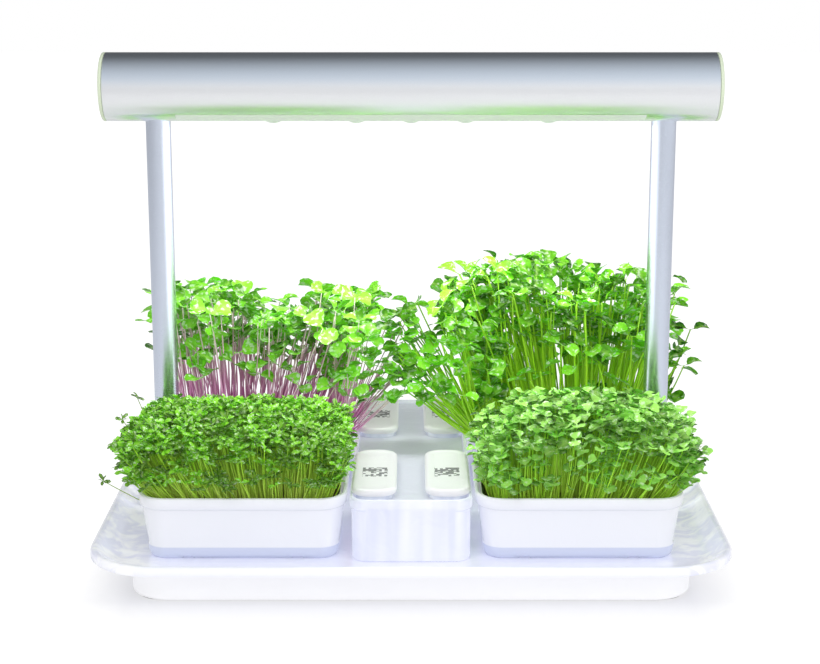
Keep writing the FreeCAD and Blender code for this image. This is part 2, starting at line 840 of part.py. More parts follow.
def make_insert(name, across, along):
    """The slotted insert that holds the mat over the water, on four legs."""
    x, y = across * s.tray_spread, along * s.tray_reach
    body = new_body("grow_insert_" + name, x, y, s.floor_level)
    low, high = s.insert_level, s.insert_level + s.insert_rise
    gap, wall = 2 * s.insert_gap, 2 * s.insert_wall
    widths = [insert_width(level, s.tray_width) - gap for level in (low, high)]
    depths = [insert_width(level, s.tray_depth) - gap for level in (low, high)]
    bends = [insert_bend(level) for level in (low, high)]
    outside = [(low, widths[0], depths[0], bends[0]), (high, widths[1], depths[1], bends[1])]
    base = low + s.insert_wall
    inside = [
        (base, widths[0] - wall, depths[0] - wall, bends[0] - s.insert_wall),
        (high, widths[1] - wall, depths[1] - wall, bends[1] - s.insert_wall),
    ]
    loft(body, "AdditiveLoft", outside)
    loft(body, "SubtractiveLoft", inside)
    foot_x = insert_width(s.tray_wall, s.tray_width) / 2 - s.leg_inset
    foot_y = insert_width(s.tray_wall, s.tray_depth) / 2 - s.leg_inset
    pad_circles(body, s.tray_wall, low + s.insert_wall / 2, s.leg_radius, corners(foot_x, foot_y))
    first = -(s.slot_pitch * (s.slot_count - 1) / 2)
    slot = add_sketch(body, along=first, off=low)
    rounded_rectangle(slot, s.slot_length, s.slot_width, s.slot_corner)
    cut = extrude(body, "Pocket", slot, 3 * s.insert_wall, both_ways=True)
    doc.recompute()
    pattern = body.newObject("PartDesign::LinearPattern", "slots")
    pattern.Originals = [cut]
    axis = [f for f in body.Origin.OriginFeatures if f.Role == "Y_Axis"][0]
    pattern.Direction = (axis, [""])
    bind(pattern, "Length", s.slot_pitch * (s.slot_count - 1))
    bind(pattern, "Occurrences", s.slot_count)
    body.Tip = pattern


def make_mat(name, across, along):
    """The seed mat that lies in the insert."""
    x, y = across * s.tray_spread, along * s.tray_reach
    body = new_body("seed_mat_" + name, x, y)
    level = s.insert_level + s.insert_wall
    edge = 2 * (s.insert_gap + s.insert_wall + s.mat_gap)
    width = insert_width(level, s.tray_width) - edge
    depth = insert_width(level, s.tray_depth) - edge
    bend = insert_bend(level) - s.insert_wall - s.mat_gap
    pad_block(body, insert_floor, mat_top, width, depth, bend)


def make_crop(label, corner, levels, reach, top_inset, top_shift=0.0):
    """A plain closed solid for the plants of one tray: stems and a wider crown of leaves.
    The reaches are how far the leaves stand beyond the tray's rim on each side."""
    across, along = corner
    body = new_body(label, across * s.tray_spread, along * s.tray_reach)
    outward, inward, front, back = reach
    width, depth = s.tray_width + outward + inward, s.tray_depth + front + back
    shift_x, shift_y = across * (outward - inward) / 2, (back - front) / 2
    stem_width, stem_depth = s.tray_width - 2 * s.stem_inset, s.tray_depth - 2 * s.stem_inset
    flare = 2 * s.stem_flare
    sections = [
        (mat_top + s.slip_gap, stem_width, stem_depth, s.stem_corner),
        (tray_rim + s.stem_clear, stem_width + flare, stem_depth + flare, s.stem_corner),
    ]
    if len(levels) == 4:
        lean = (outward / 4) * across
        fan_width = s.tray_width - 2 * s.fan_inset
        sections.append((levels[0], fan_width, s.tray_depth, s.fan_corner, lean, 0.0))
    leaf, crown, top = levels[-3:]
    for level, inset in ((leaf, as_size(0.0)), (crown, s.crown_inset)):
        drawn = 2 * inset
        section = (level, width - drawn, depth - drawn, s.canopy_corner, shift_x, shift_y)
        sections.append(section)
    drawn = 2 * top_inset
    peak = shift_x - across * as_size(top_shift)
    sections.append((top, width - drawn, depth - drawn, s.canopy_corner, peak, shift_y))
    loft(body, "AdditiveLoft", sections)


def make_crops():
    """The four crops: two short ones in front, two tall ones behind."""
    short = (s.short_leaf_level, s.short_crown_level, s.short_top_level)
    short_reach = (s.short_out, s.short_in, s.short_front, s.short_back)
    for label, tray in (("crop_cress", "front_left"), ("crop_mustard", "front_right")):
        make_crop(label, TRAYS[tray], short, short_reach, s.short_top_inset)
    radish = (
        s.radish_stem_level, s.radish_leaf_level, s.radish_crown_level, s.radish_top_level,
    )
    radish_reach = (s.radish_out, s.tall_in, s.tall_front, s.tall_back)
    make_crop("crop_radish", TRAYS["rear_left"], radish, radish_reach, s.radish_top_inset)
    greens = (
        s.greens_stem_level, s.greens_leaf_level, s.greens_crown_level, s.greens_top_level,
    )
    greens_reach = (s.greens_out, s.tall_in, s.tall_front, s.tall_back)
    inset, shift = s.greens_top_inset, s.greens_top_shift
    make_crop("crop_greens", TRAYS["rear_right"], greens, greens_reach, inset, shift)


def make_tub():
    """The central reservoir with a thicker band at its rim."""
    body = new_body("reservoir_tub", z=s.floor_level)
    high, wall = s.tub_height, s.tub_wall
    pad_block(body, as_size(0.0), high, s.tub_width, s.tub_depth, s.tub_corner)
    proud = 2 * s.band_proud
    bend = s.tub_corner + s.band_proud
    pad_block(body, high - s.tub_band, high, s.tub_width + proud, s.tub_depth + proud, bend)
    inner = s.tub_corner - wall
    mouth = high + s.cut_over
    cut_block(body, wall, mouth, s.tub_width - 2 * wall, s.tub_depth - 2 * wall, inner)


def make_cartridge(name, across, along):
    """A cartridge in the reservoir: a tapered flask and the rounded cap that closes it."""
    x, y = across * cap_spread, along * cap_reach
    flask = new_body("cartridge_flask_" + name, x, y)
    low, high = s.floor_level + s.tub_wall + s.slip_gap, tub_rim + s.slip_gap
    width, depth = s.cap_width - 2 * s.flask_inset, s.cap_depth - 2 * s.flask_inset
    bend, taper = s.cap_corner - s.flask_inset, s.flask_taper
    outside = [
        (low, width - 2 * taper, depth - 2 * taper, bend - taper),
        (high, width, depth, bend),
    ]
    wall = s.flask_wall
    narrow = 2 * (wall + taper)
    inside = [
        (low + wall, width - narrow, depth - narrow, bend - taper - wall),
        (high, width - 2 * wall, depth - 2 * wall, bend - wall),
    ]
    loft(flask, "AdditiveLoft", outside)
    loft(flask, "SubtractiveLoft", inside)
    cap = new_body("cartridge_cap_" + name, x, y)
    plate = pad_block(cap, high, high + s.cap_height, s.cap_width, s.cap_depth, s.cap_corner)
    top = (high + s.cap_height).value - 0.01
    round_edges(cap, plate, s.cap_edge, lambda b: b.ZMin > top)


def make_button():
    """The push button in the plinth's back wall, with the flange that holds it in."""
    body = new_body("power_button", s.button_place, 0.0, s.button_level)
    out = s.plinth_depth / 2 + s.button_proud
    stem = add_sketch(body, "XZ_Plane", off=-(out - s.button_length / 2))
    circle(stem, s.button_radius)
    extrude(body, "Pad", stem, s.button_length, both_ways=True)
    middle = wall_inside - s.slip_gap - s.button_flange / 2
    flange = add_sketch(body, "XZ_Plane", off=-middle)
    circle(flange, s.button_radius + s.button_flange)
    last = extrude(body, "Pad", flange, s.button_flange, both_ways=True)
    face = out.value - 0.01
    round_edges(body, last, s.button_round, lambda b: b.YMin > face)


def make_electrics():
    """The driver board with its parts, and the switch behind the button."""
    board_level = cover_top + s.standoff_rise
    board = new_body("driver_board", 0.0, s.driver_back)
    top = board_level + s.board_thick
    pad_block(board, board_level, top, s.driver_width, s.driver_depth, s.board_corner)
    third = s.driver_width / 3
    parts = [block(s.coil_side, s.coil_side, s.coil_height, as_size(0.0), s.driver_back, top)]
    for side in (-1, 1):
        parts.append(cylinder(s.can_radius, s.can_height, side * third, s.driver_back, top))
        parts.append(
            block(
                s.coil_side / 2, s.coil_side / 3, s.coil_height / 2,
                side * third / 2, s.driver_back - s.driver_depth / 4, top,
            )
        )
    group("driver_parts", parts)
    button_end = s.plinth_depth / 2 + s.button_proud - s.button_length
    face = button_end - s.button_travel - s.slip_gap
    height = s.button_level + s.button_radius - cover_top
    middle = face - s.switch_side / 2
    switch = block(s.switch_side, s.switch_side, height, s.button_place, middle, cover_top)
    keep(switch, "switch_block")


def make_inlet():
    """The low-voltage inlet: a block inside the wall, a barrel through it and a pin."""
    body = new_body("power_inlet", s.inlet_place)
    height = s.button_level + s.inlet_radius + s.inlet_roof
    inner = add_sketch(body, "XZ_Plane", off=-(wall_inside - s.slip_gap - s.inlet_block / 2))
    inner.setExpression("AttachmentOffset.Base.y", ((cover_top + height) / 2).text)
    rounded_rectangle(inner, s.inlet_block, height - cover_top, s.inlet_roof)
    extrude(body, "Pad", inner, s.inlet_block, both_ways=True)
    mouth = s.plinth_depth / 2 + s.inlet_proud
    length = mouth - wall_inside + s.inlet_lap
    barrel = add_sketch(body, "XZ_Plane", off=-(mouth - length / 2))
    circle(barrel, s.inlet_radius, None, s.button_level)
    extrude(body, "Pad", barrel, length, both_ways=True)
    bore = add_sketch(body, "XZ_Plane", off=-(mouth - s.inlet_depth / 2))
    circle(bore, s.inlet_bore, None, s.button_level)
    extrude(body, "Pocket", bore, s.inlet_depth, both_ways=True)
    pin_length = s.inlet_depth - s.inlet_pin
    pin = add_sketch(body, "XZ_Plane", off=-(mouth - s.inlet_pin_inset - pin_length / 2))
    circle(pin, s.inlet_pin, None, s.button_level)
    extrude(body, "Pad", pin, pin_length, both_ways=True)


def make_everything():
    """Builds each piece in turn, from the ground up."""
    make_feet()
    make_cover()
    make_cover_screws()
    make_plinth()
    make_basin()
    make_contacts()
    make_electrics()
    make_inlet()
    make_button()
    make_tub()
    for name, side in SIDES.items():
        make_socket(name, side)
        make_post(name, side)
        make_saddle(name, side)
        make_end_cap(name, side)
    make_saddle_screws()
    make_lamp_tube()
    make_diffuser()
    make_lights()
    for name, (across, along) in TRAYS.items():
        make_tray(name, across, along)
        make_insert(name, across, along)
        make_mat(name, across, along)
        make_cartridge(name, across, along)
    make_crops()


def check_everything():
    """Stops if an object failed or a finished piece has no valid solid."""
    for thing in doc.Objects:
        if {"Invalid", "Error"} & set(thing.State):
            raise RuntimeError(f"{thing.Label} ({thing.Name}) failed: {thing.State}")
    for thing in finished:
        if thing.Shape.isNull() or not thing.Shape.isValid() or not thing.Shape.Solids:
            raise RuntimeError(f"{thing.Label} has no valid solid")


def write_everything():
    """Writes each piece to its own file and prints what it holds."""
    os.makedirs("parts", exist_ok=True)
    for thing in finished:
        thing.Shape.exportStep(f"parts/{thing.Label}.step")
        box = thing.Shape.BoundBox
        size = f"{box.XLength:.1f} x {box.YLength:.1f} x {box.ZLength:.1f}"
        solids = len(thing.Shape.Solids)
        print(f"{thing.Label}: {solids} solid(s), {size}, {thing.Shape.Volume:.0f} mm3")


make_everything()
doc.recompute()
check_everything()
write_everything()
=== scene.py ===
import logging
import math
import random
from dataclasses import dataclass, field
from enum import Enum
from typing import Any, Iterable, Sequence

import bmesh
import bpy
from mathutils import Euler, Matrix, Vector


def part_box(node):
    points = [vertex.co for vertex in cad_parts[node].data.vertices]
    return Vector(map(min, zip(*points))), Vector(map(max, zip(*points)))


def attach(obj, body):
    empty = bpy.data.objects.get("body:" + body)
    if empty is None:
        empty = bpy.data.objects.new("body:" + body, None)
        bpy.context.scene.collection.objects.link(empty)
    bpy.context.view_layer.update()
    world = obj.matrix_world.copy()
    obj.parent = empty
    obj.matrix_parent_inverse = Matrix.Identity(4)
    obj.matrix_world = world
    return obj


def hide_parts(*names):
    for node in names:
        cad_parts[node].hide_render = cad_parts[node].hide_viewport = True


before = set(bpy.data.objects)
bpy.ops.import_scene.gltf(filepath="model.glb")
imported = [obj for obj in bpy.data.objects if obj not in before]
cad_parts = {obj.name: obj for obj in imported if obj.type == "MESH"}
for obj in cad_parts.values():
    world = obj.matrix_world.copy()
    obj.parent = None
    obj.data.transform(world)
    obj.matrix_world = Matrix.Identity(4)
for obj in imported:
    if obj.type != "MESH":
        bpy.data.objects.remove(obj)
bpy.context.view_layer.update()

LOG = logging.getLogger("garden")
MM = 0.001
Point = tuple[float, float, float]
Colour = tuple[float, float, float]
Pair = tuple[float, float]
Shoot = tuple[Vector, Vector, float, float]
Stray = tuple[float, float, float, float]
CORNERS = ("front_left", "front_right", "rear_left", "rear_right")


class Term:
    """A number socket that takes part in plain arithmetic."""

    def __init__(self, graph: "Graph", socket: bpy.types.NodeSocket) -> None:
        """Keeps the graph and the socket that the term stands for."""
        self.graph = graph
        self.socket = socket

    def _math(self, operation: str, first: Any, second: Any = 0.0) -> "Term":
        """Adds one Math node.

        Args:
            operation: The node's operation.
            first: A term or number.
            second: A term or number.

        Returns:
            The result as a term.
        """
        made = self.graph.node("ShaderNodeMath", {"operation": operation}, {0: first, 1: second})
        return Term(self.graph, made.outputs[0])

    def __add__(self, other: Any) -> "Term":
        """Sum."""
        return self._math("ADD", self, other)

    def __sub__(self, other: Any) -> "Term":
        """Difference."""
        return self._math("SUBTRACT", self, other)

    def __rsub__(self, other: Any) -> "Term":
        """Difference from a number."""
        return self._math("SUBTRACT", other, self)

    def __mul__(self, other: Any) -> "Term":
        """Product."""
        return self._math("MULTIPLY", self, other)

    def __truediv__(self, other: Any) -> "Term":
        """Quotient."""
        return self._math("DIVIDE", self, other)

    def __pow__(self, other: Any) -> "Term":
        """Power."""
        return self._math("POWER", self, other)

    def most(self, other: Any) -> "Term":
        """The larger of the two."""
        return self._math("MAXIMUM", self, other)

    def least(self, other: Any) -> "Term":
        """The smaller of the two."""
        return self._math("MINIMUM", self, other)

    def clamped(self, low: float = 0.0) -> "Term":
        """Kept between a low value and 1."""
        return self.most(low).least(1.0)

    def __abs__(self) -> "Term":
        """Size without sign."""
        return self._math("ABSOLUTE", self)

    __radd__ = __add__
    __rmul__ = __mul__


class Graph:
    """A node tree while it is being built."""

    def __init__(self, tree: bpy.types.NodeTree) -> None:
        """Keeps the tree."""
        self.tree = tree

    def node(self, kind: str, settings: dict | None = None, sockets: dict | None = None) -> Any:
        """Adds one node.

        Args:
            kind: The node's type.
            settings: Its properties.
            sockets: Input names or numbers, with values, sockets or terms.

        Returns:
            The new node.
        """
        made = self.tree.nodes.new(kind)
        for name, value in (settings or {}).items():
            setattr(made, name, value)
        for name, value in (sockets or {}).items():
            self.feed(made.inputs[name], value)
        return made

    def feed(self, socket: bpy.types.NodeSocket, value: Any) -> None:
        """Links or sets one input."""
        if isinstance(value, Term):
            value = value.socket
        if isinstance(value, bpy.types.NodeSocket):
            self.tree.links.new(value, socket)
        else:
            socket.default_value = value

    def place(self, output: str = "Object") -> list[Term]:
        """The three coordinates of the shaded point.

        Args:
            output: The coordinates wanted, those of the object or the generated ones.

        Returns:
            The places across, in depth and in height.
        """
        where = self.node("ShaderNodeTexCoord").outputs[output]
        split = self.node("ShaderNodeSeparateXYZ", None, {0: where})
        return [Term(self, split.outputs[axis]) for axis in range(3)]

    def kept(self, name: str) -> Term:
        """A number that the mesh keeps under a name, for a material."""
        return Term(self, self.node("ShaderNodeAttribute", {"attribute_name": name}).outputs["Fac"])

    def named(self, name: str, kind: str) -> bpy.types.NodeSocket:
        """A value that the mesh keeps under a name, for a geometry tree."""
        return self.node("GeometryNodeInputNamedAttribute", {"data_type": kind}, {"Name": name}).outputs[0]

    def mix(self, mask: Term, low: Any, high: Any) -> bpy.types.NodeSocket:
        """Mixes two colours by a mask.

        Args:
            mask: 0 where the first colour stands, 1 where the second one does.
            low: The first colour, or a colour socket.
            high: The second colour, or a colour socket.

        Returns:
            The mixed colour's socket.
        """
        made = self.node("ShaderNodeMix", {"data_type": "RGBA"}, {"Factor": mask})
        for number, colour in ((6, low), (7, high)):
            self.feed(made.inputs[number], (*colour, 1.0) if isinstance(colour, tuple) else colour)
        return made.outputs[2]

    def drawn(self, low: Any, high: Any, seed: Any) -> bpy.types.NodeSocket:
        """A number drawn for each point between two ends."""
        sockets = {2: low, 3: high, "Seed": seed}
        return self.node("FunctionNodeRandomValue", {"data_type": "FLOAT"}, sockets).outputs[1]

    def on_points(self, points: Any, thing: Any, **more: Any) -> bpy.types.NodeSocket:
        """Stands a geometry on every point.

        Args:
            points: The socket with the points.
            thing: The socket with the geometry.
            more: Other inputs of the node by name, such as Rotation.

        Returns:
            The socket with the instances.
        """
        sockets = {"Points": points, "Instance": thing, **more}
        return self.node("GeometryNodeInstanceOnPoints", None, sockets).outputs[0]


@dataclass(frozen=True)
class Finish:
    """What every finish shares: its name and its plain surface values."""

    name: str
    colour: Colour
    roughness: float = 0.35
    coat: float = 0.0
    # A painted glow on parts that are no lamp: it stands in for light scattered through them and lifts their
    # shade.
    glow: float = 0.0

    def start(self) -> tuple[bpy.types.Material, Graph, Any]:
        """Makes the material with its surface shader.

        Returns:
            The material, its graph and the surface node.
        """
        material = bpy.data.materials.new(self.name)
        material.use_nodes = True
        material.diffuse_color = (*self.colour, 1.0)
        surface = material.node_tree.nodes["Principled BSDF"]
        surface.inputs["Base Color"].default_value = (*self.colour, 1.0)
        surface.inputs["Roughness"].default_value = self.roughness
        surface.inputs["Coat Weight"].default_value = self.coat
        surface.inputs["Coat Roughness"].default_value = 0.08
        surface.inputs["Emission Strength"].default_value = self.glow
        return material, Graph(material.node_tree), surface

    def dimmed(self, share: float) -> Colour:
        """The finish's colour at a share of its brightness."""
        return tuple(channel * share for channel in self.colour)

    def noise(
        self, graph: Graph, scale: float, detail: float = 2.0, swirl: float = 0.0, upright: float = 1.0
    ) -> Term:
        """Noise on Object coordinates.

        Args:
            graph: The material's graph.
            scale: Cycles per metre.
            detail: The noise's octaves.
            swirl: How much the pattern bends round itself.
            upright: The share of those cycles that it has in height; small ones make streaks.

        Returns:
            The noise from 0 to 1.
        """
        where = graph.node("ShaderNodeTexCoord").outputs["Object"]
        if upright != 1.0:
            sockets = {"Vector": where, "Scale": (1.0, 1.0, upright)}
            where = graph.node("ShaderNodeMapping", None, sockets).outputs[0]
        sockets = {"Vector": where, "Scale": scale, "Detail": detail, "Distortion": swirl}
        return Term(graph, graph.node("ShaderNodeTexNoise", None, sockets).outputs["Fac"])

    def colour_in(self, graph: Graph, surface: Any, colour: bpy.types.NodeSocket) -> None:
        """Feeds a colour to the surface and to its painted glow, which stands in for light scattered through
        it and lifts its shade.
        """
        graph.feed(surface.inputs["Base Color"], colour)
        graph.feed(surface.inputs["Emission Color"], colour)

    def rough_in(self, graph: Graph, surface: Any, pattern: Term, spread: float, less: float = 0.0) -> None:
        """Feeds the roughness, which rises with a pattern.

        Args:
            graph: The material's graph.
            surface: The surface node.
            pattern: The pattern from 0 to 1.
            spread: How much the whole pattern adds.
            less: What is taken off first.
        """
        graph.feed(surface.inputs["Roughness"], (self.roughness - less) + pattern * spread)

    def bump(self, graph: Graph, surface: Any, height: Term, depth: float) -> None:
        """Feeds a height in metres times depth into the surface's normal."""
        sockets = {"Strength": 1.0, "Distance": depth, "Height": height}
        made = graph.node("ShaderNodeBump", None, sockets)
        graph.feed(surface.inputs["Normal"], made.outputs["Normal"])


@dataclass(frozen=True)
class Moulded(Finish):
    """Moulded plastic: a faint mottle and a fine bump, with slow waves and, where asked, a painted shade band
    at its foot.
    """

    shade: float = 0.96
    mottle: float = 14.0
    grain: float = 900.0
    grain_height: float = 0.04
    grain_rough: float = 0.08
    wave: float = 0.0
    wave_scale: float = 22.0
    # Below its level the foot colour is painted shade and reflection, not a tint of the plastic.
    foot: Colour = (0.8, 0.8, 0.8)
    shade_band_level: float = 0.0
    shade_band_edge: float = 900.0

    def make(self) -> bpy.types.Material:
        """Builds the material."""
        material, graph, surface = self.start()
        body = graph.mix(self.noise(graph, self.mottle), self.dimmed(self.shade), self.colour)
        # Painted shade: below the level the colour turns to the foot colour.
        if self.shade_band_level:
            shade_band = (self.shade_band_level - graph.place()[2]) * self.shade_band_edge
            body = graph.mix(shade_band.clamped(), body, self.foot)
        self.colour_in(graph, surface, body)
        fine = self.noise(graph, self.grain)
        self.rough_in(graph, surface, fine, self.grain_rough, self.grain_rough / 2)
        height = fine * self.grain_height
        if self.wave:
            height = height + self.noise(graph, self.wave_scale, 3.0, 2.4) * self.wave
        self.bump(graph, surface, height, MM)
        return material


@dataclass(frozen=True)
class Film(Finish):
    """Glossy lilac moulding with painted highlights swirling pale near its ends, and a painted paler outer
    edge where light falls on its rim.
    """

    low: Colour = (0.70, 0.71, 0.85)
    swirl_depth: float = 1.6
    swirl_scale: float = 13.0
    pale: float = 0.25
    ends: float = 0.20
    ends_fade: float = 30.0
    middle_share: float = 0.12
    edge_x: float = 0.2665
    edge_y: float = 0.2020
    edge_fade: float = 900.0
    lit_edge_pale: float = 0.62

    def make(self) -> bpy.types.Material:
        """Builds the material."""
        material, graph, surface = self.start()
        swirl = self.noise(graph, self.swirl_scale, 3.0, 1.8)
        thin = self.noise(graph, self.swirl_scale * 4.0, 2.0, 1.2)
        x, y, _ = graph.place()
        out_x, out_y = abs(x), abs(y)
        # Painted highlights: pale swirling streaks near the basin's ends.
        light_streak = ((swirl - 0.42) * 5.0).clamped()
        light_streak = (light_streak * 0.7 + (thin - 0.5) * 2.8).clamped()
        at_end = ((out_x - self.ends) * self.ends_fade).clamped(self.middle_share)
        # Painted light: the outer edge is painted paler, where light falls on the rim.
        edge = ((out_x - self.edge_x).most(out_y - self.edge_y) * self.edge_fade).clamped()
        mask = (light_streak * at_end + self.pale).least(1.0) * (1.0 - edge) + edge * self.lit_edge_pale
        self.colour_in(graph, surface, graph.mix(mask, self.low, self.colour))
        self.rough_in(graph, surface, thin, 0.08)
        self.bump(graph, surface, swirl * at_end * self.swirl_depth, MM)
        return material


@dataclass(frozen=True)
class Metal(Finish):
    """Satin anodised metal with a fine sand-blasted grain."""

    shade: float = 0.93
    grain: float = 1500.0
    grain_depth: float = 0.03
    grain_rough: float = 0.1

    def make(self) -> bpy.types.Material:
        """Builds the material."""
        material, graph, surface = self.start()
        surface.inputs["Metallic"].default_value = 1.0
        fine = self.noise(graph, self.grain, 3.0)
        graph.feed(surface.inputs["Base Color"], graph.mix(fine, self.dimmed(self.shade), self.colour))
        self.rough_in(graph, surface, fine, self.grain_rough, self.grain_rough / 2)
        self.bump(graph, surface, fine, self.grain_depth * MM)
        return material


@dataclass(frozen=True)
class Clear(Finish):
    """Translucent glossy plastic with painted streaks of light and shade down its walls."""

    low: Colour = (0.58, 0.62, 0.74)
    alpha: float = 0.8
    light_streak: float = 70.0
    streak_upright: float = 0.08
    streak_height: float = 0.6
    swirl: float = 26.0
    swirl_height: float = 1.2

    def make(self) -> bpy.types.Material:
        """Builds the material."""
        material, graph, surface = self.start()
        light_streak = self.noise(graph, self.light_streak, 1.5, upright=self.streak_upright)
        # Painted light: the streak pattern mixes the dark and pale colours into lit and shaded bands down the
        # wall; the same pattern also bumps it.
        sharp = ((light_streak - 0.35) * 3.0).clamped()
        self.colour_in(graph, surface, graph.mix(sharp, self.low, self.colour))
        self.rough_in(graph, surface, light_streak, 0.08)
        surface.inputs["Alpha"].default_value = self.alpha
        swirl = self.noise(graph, self.swirl, 2.0, 2.0)
        self.bump(graph, surface, swirl * self.swirl_height + light_streak * self.streak_height, MM)
        return material


@dataclass(frozen=True)
class Glow(Finish):
    """A lit diffuser: opal plastic that gives out light."""

    shade: float = 0.94
    mottle: float = 60.0
    strength: float = 3.0

    def make(self) -> bpy.types.Material:
        """Builds the material."""
        material, graph, surface = self.start()
        cloud = self.noise(graph, self.mottle)
        self.colour_in(graph, surface, graph.mix(cloud, self.dimmed(self.shade), self.colour))
        surface.inputs["Emission Strength"].default_value = self.strength
        return material


@dataclass(frozen=True)
class Leafy(Finish):
    """A seed leaf: darker and lighter plants, at random and with painted shade, a pale rib and painted glint
    patches.
    """

    dark: Colour = (0.05, 0.20, 0.01)
    rib: Colour = (0.50, 0.80, 0.16)
    rib_share: float = 0.35
    mottle: float = 260.0
    sheen: float = 0.15
    glint: float = 0.5
    glint_scale: float = 240.0
    glint_colour: Colour = (0.90, 1.0, 0.84)

    def make(self) -> bpy.types.Material:
        """Builds the material from the shade and rib values kept on the leaves."""
        material, graph, surface = self.start()
        shade, rib = graph.kept("shade"), graph.kept("rib")
        cloud = self.noise(graph, self.mottle)
        # The shade value darkens a leaf: a random tone, with painted shade on shoots sunk below the top.
        body = graph.mix((shade * 1.05 + cloud * 0.6 - 0.19).clamped(), self.dark, self.colour)
        body = graph.mix(rib * self.rib_share, body, self.rib)
        # Painted highlights: pale glint patches, stronger on the lighter leaves.
        patch = self.noise(graph, self.glint_scale, 1.0)
        gleam = ((patch - 0.55) * 8.0).clamped() * (0.35 + shade * 0.65) * self.glint
        self.colour_in(graph, surface, graph.mix(gleam, body, self.glint_colour))
        self.rough_in(graph, surface, cloud, 0.15)
        surface.inputs["Specular IOR Level"].default_value = self.sheen
        self.bump(graph, surface, cloud + rib * 0.4, 0.25 * MM)
        return material


@dataclass(frozen=True)
class Stalk(Finish):
    """A shoot's stem, coloured from its foot to its top, darker on the plants with a low shade."""

    foot: Colour = (0.80, 0.85, 0.50)
    dark: Colour = (0.06, 0.12, 0.01)
    dark_share: float = 0.6
    reach: float = 0.0
    mottle: float = 300.0

    def make(self) -> bpy.types.Material:
        """Builds the material from the height and shade values kept on the stems."""
        material, graph, surface = self.start()
        rise, shade = graph.kept("rise"), graph.kept("shade")
        climb = (rise - self.reach) * (0.9 / (1.0 - self.reach))
        body = graph.mix((climb + shade * 0.3 - 0.05).clamped(), self.foot, self.colour)
        # Painted shade: stems with a low shade value are darkened.
        dusk = (1.0 - shade) ** 1.5 * self.dark_share
        self.colour_in(graph, surface, graph.mix(dusk, body, self.dark))
        cloud = self.noise(graph, self.mottle)
        self.rough_in(graph, surface, cloud, 0.1)
        self.bump(graph, surface, cloud, 0.1 * MM)
        return material


class Plastic(Enum):
    """The moulded finishes of the casings, trays and small parts."""

    # The fifth value of each finish, where given, is its painted glow, which lifts its shade as if light
    # scattered through the plastic.
    BASE = Moulded("base_white", (0.90, 0.90, 0.905), 0.34, 0.15, 0.28)
    # The tray's lilac foot band is painted shade with the basin's reflection in it.
    TRAY = Moulded(
        "tray_white", (0.81, 0.82, 0.87), 0.24, 0.35, 0.15,
        wave=0.2, foot=(0.57, 0.61, 0.76), shade_band_level=0.0412,
    )
    CAP = Moulded("cap_white", (0.80, 0.80, 0.82), 0.3, 0.2, 0.12, wave=0.5, wave_scale=40.0)
    INSERT = Moulded("insert_white", (0.8, 0.8, 0.76), 0.4)
    BASIN = Film("basin_film", (0.92, 0.925, 0.95), 0.2, 0.3, 0.22)
    TUB = Clear("tub_clear", (0.87, 0.88, 0.93), 0.12, 0.4, 0.2, low=(0.74, 0.76, 0.88), alpha=0.95)
    WATER = Moulded("still_water", (0.58, 0.60, 0.67), 0.34, 0.0, 0.16, wave=0.9, wave_scale=30.0)
    FLASK = Clear("flask_clear", (0.84, 0.87, 0.92), 0.12, 0.5, 0.2, alpha=0.85)
    END_CAP = Moulded("end_cap_green", (0.66, 0.74, 0.56), 0.3, 0.3, 0.15)
    NYLON = Moulded("nylon_grey", (0.42, 0.42, 0.44), 0.5)
    DARK = Moulded("moulded_dark", (0.03, 0.03, 0.035), 0.45)
    MASK_GREEN = Moulded("board_green", (0.02, 0.16, 0.07), 0.35, 0.4)
    MASK_WHITE = Moulded("board_white", (0.82, 0.82, 0.82), 0.4)
    RUBBER = Moulded("foot_rubber", (0.6, 0.6, 0.6), 0.7)
    FELT = Moulded("mat_felt", (0.30, 0.24, 0.14), 0.9, shade=0.5, grain=500.0, wave=1.5, wave_scale=300.0)
    INK = Moulded("print_grey", (0.06, 0.06, 0.07), 0.5)
    PHOSPHOR = Moulded("chip_yellow", (0.85, 0.7, 0.2), 0.4)


class MetalKind(Enum):
    """The metals."""

    LAMP = Metal("lamp_aluminium", (0.96, 0.97, 0.99), 0.36)
    # The posts are the lamp's aluminium painted darker and bluer, as painted shade with a cool reflection.
    SHADED_POST = Metal("post_aluminium_shaded", (0.75, 0.81, 0.93), 0.26)
    STEEL = Metal("screw_steel", (0.55, 0.55, 0.56), 0.3)
    BRASS = Metal("pin_brass", (0.72, 0.52, 0.22), 0.3)


MADE: dict[str, bpy.types.Material] = {}


def material_of(finish: Finish) -> bpy.types.Material:
    """The material of a finish, made once.

    Args:
        finish: Any finish with a make method.

    Returns:
        Its material.
    """
    if finish.name not in MADE:
        MADE[finish.name] = finish.make()
    return MADE[finish.name]


def paint(thing: bpy.types.Object, finish: Finish) -> bpy.types.Object:
    """Gives an object one finish.

    Args:
        thing: A mesh object.
        finish: The finish.

    Returns:
        The same object.
    """
    thing.data.materials.clear()
    thing.data.materials.append(material_of(finish))
    return thing


def mesh_object(
    name: str, points: Sequence[Any], faces: Sequence[Sequence[int]], crease: float = 40.0
) -> bpy.types.Object:
    """Makes a smooth-shaded mesh object with creases kept.

    Args:
        name: The object's name.
        points: Its corners, in metres.
        faces: Corner numbers of each face.
        crease: Edges sharper than this many degrees stay sharp.

    Returns:
        The object, linked to the scene.
    """
    mesh = bpy.data.meshes.new(name)
    mesh.from_pydata([tuple(point) for point in points], [], faces)
    work = bmesh.new()
    work.from_mesh(mesh)
    bmesh.ops.recalc_face_normals(work, faces=work.faces)
    work.to_mesh(mesh)
    work.free()
    mesh.shade_smooth()
    mesh.set_sharp_from_angle(angle=math.radians(crease))
    thing = bpy.data.objects.new(name, mesh)
    bpy.context.scene.collection.objects.link(thing)
    return thing


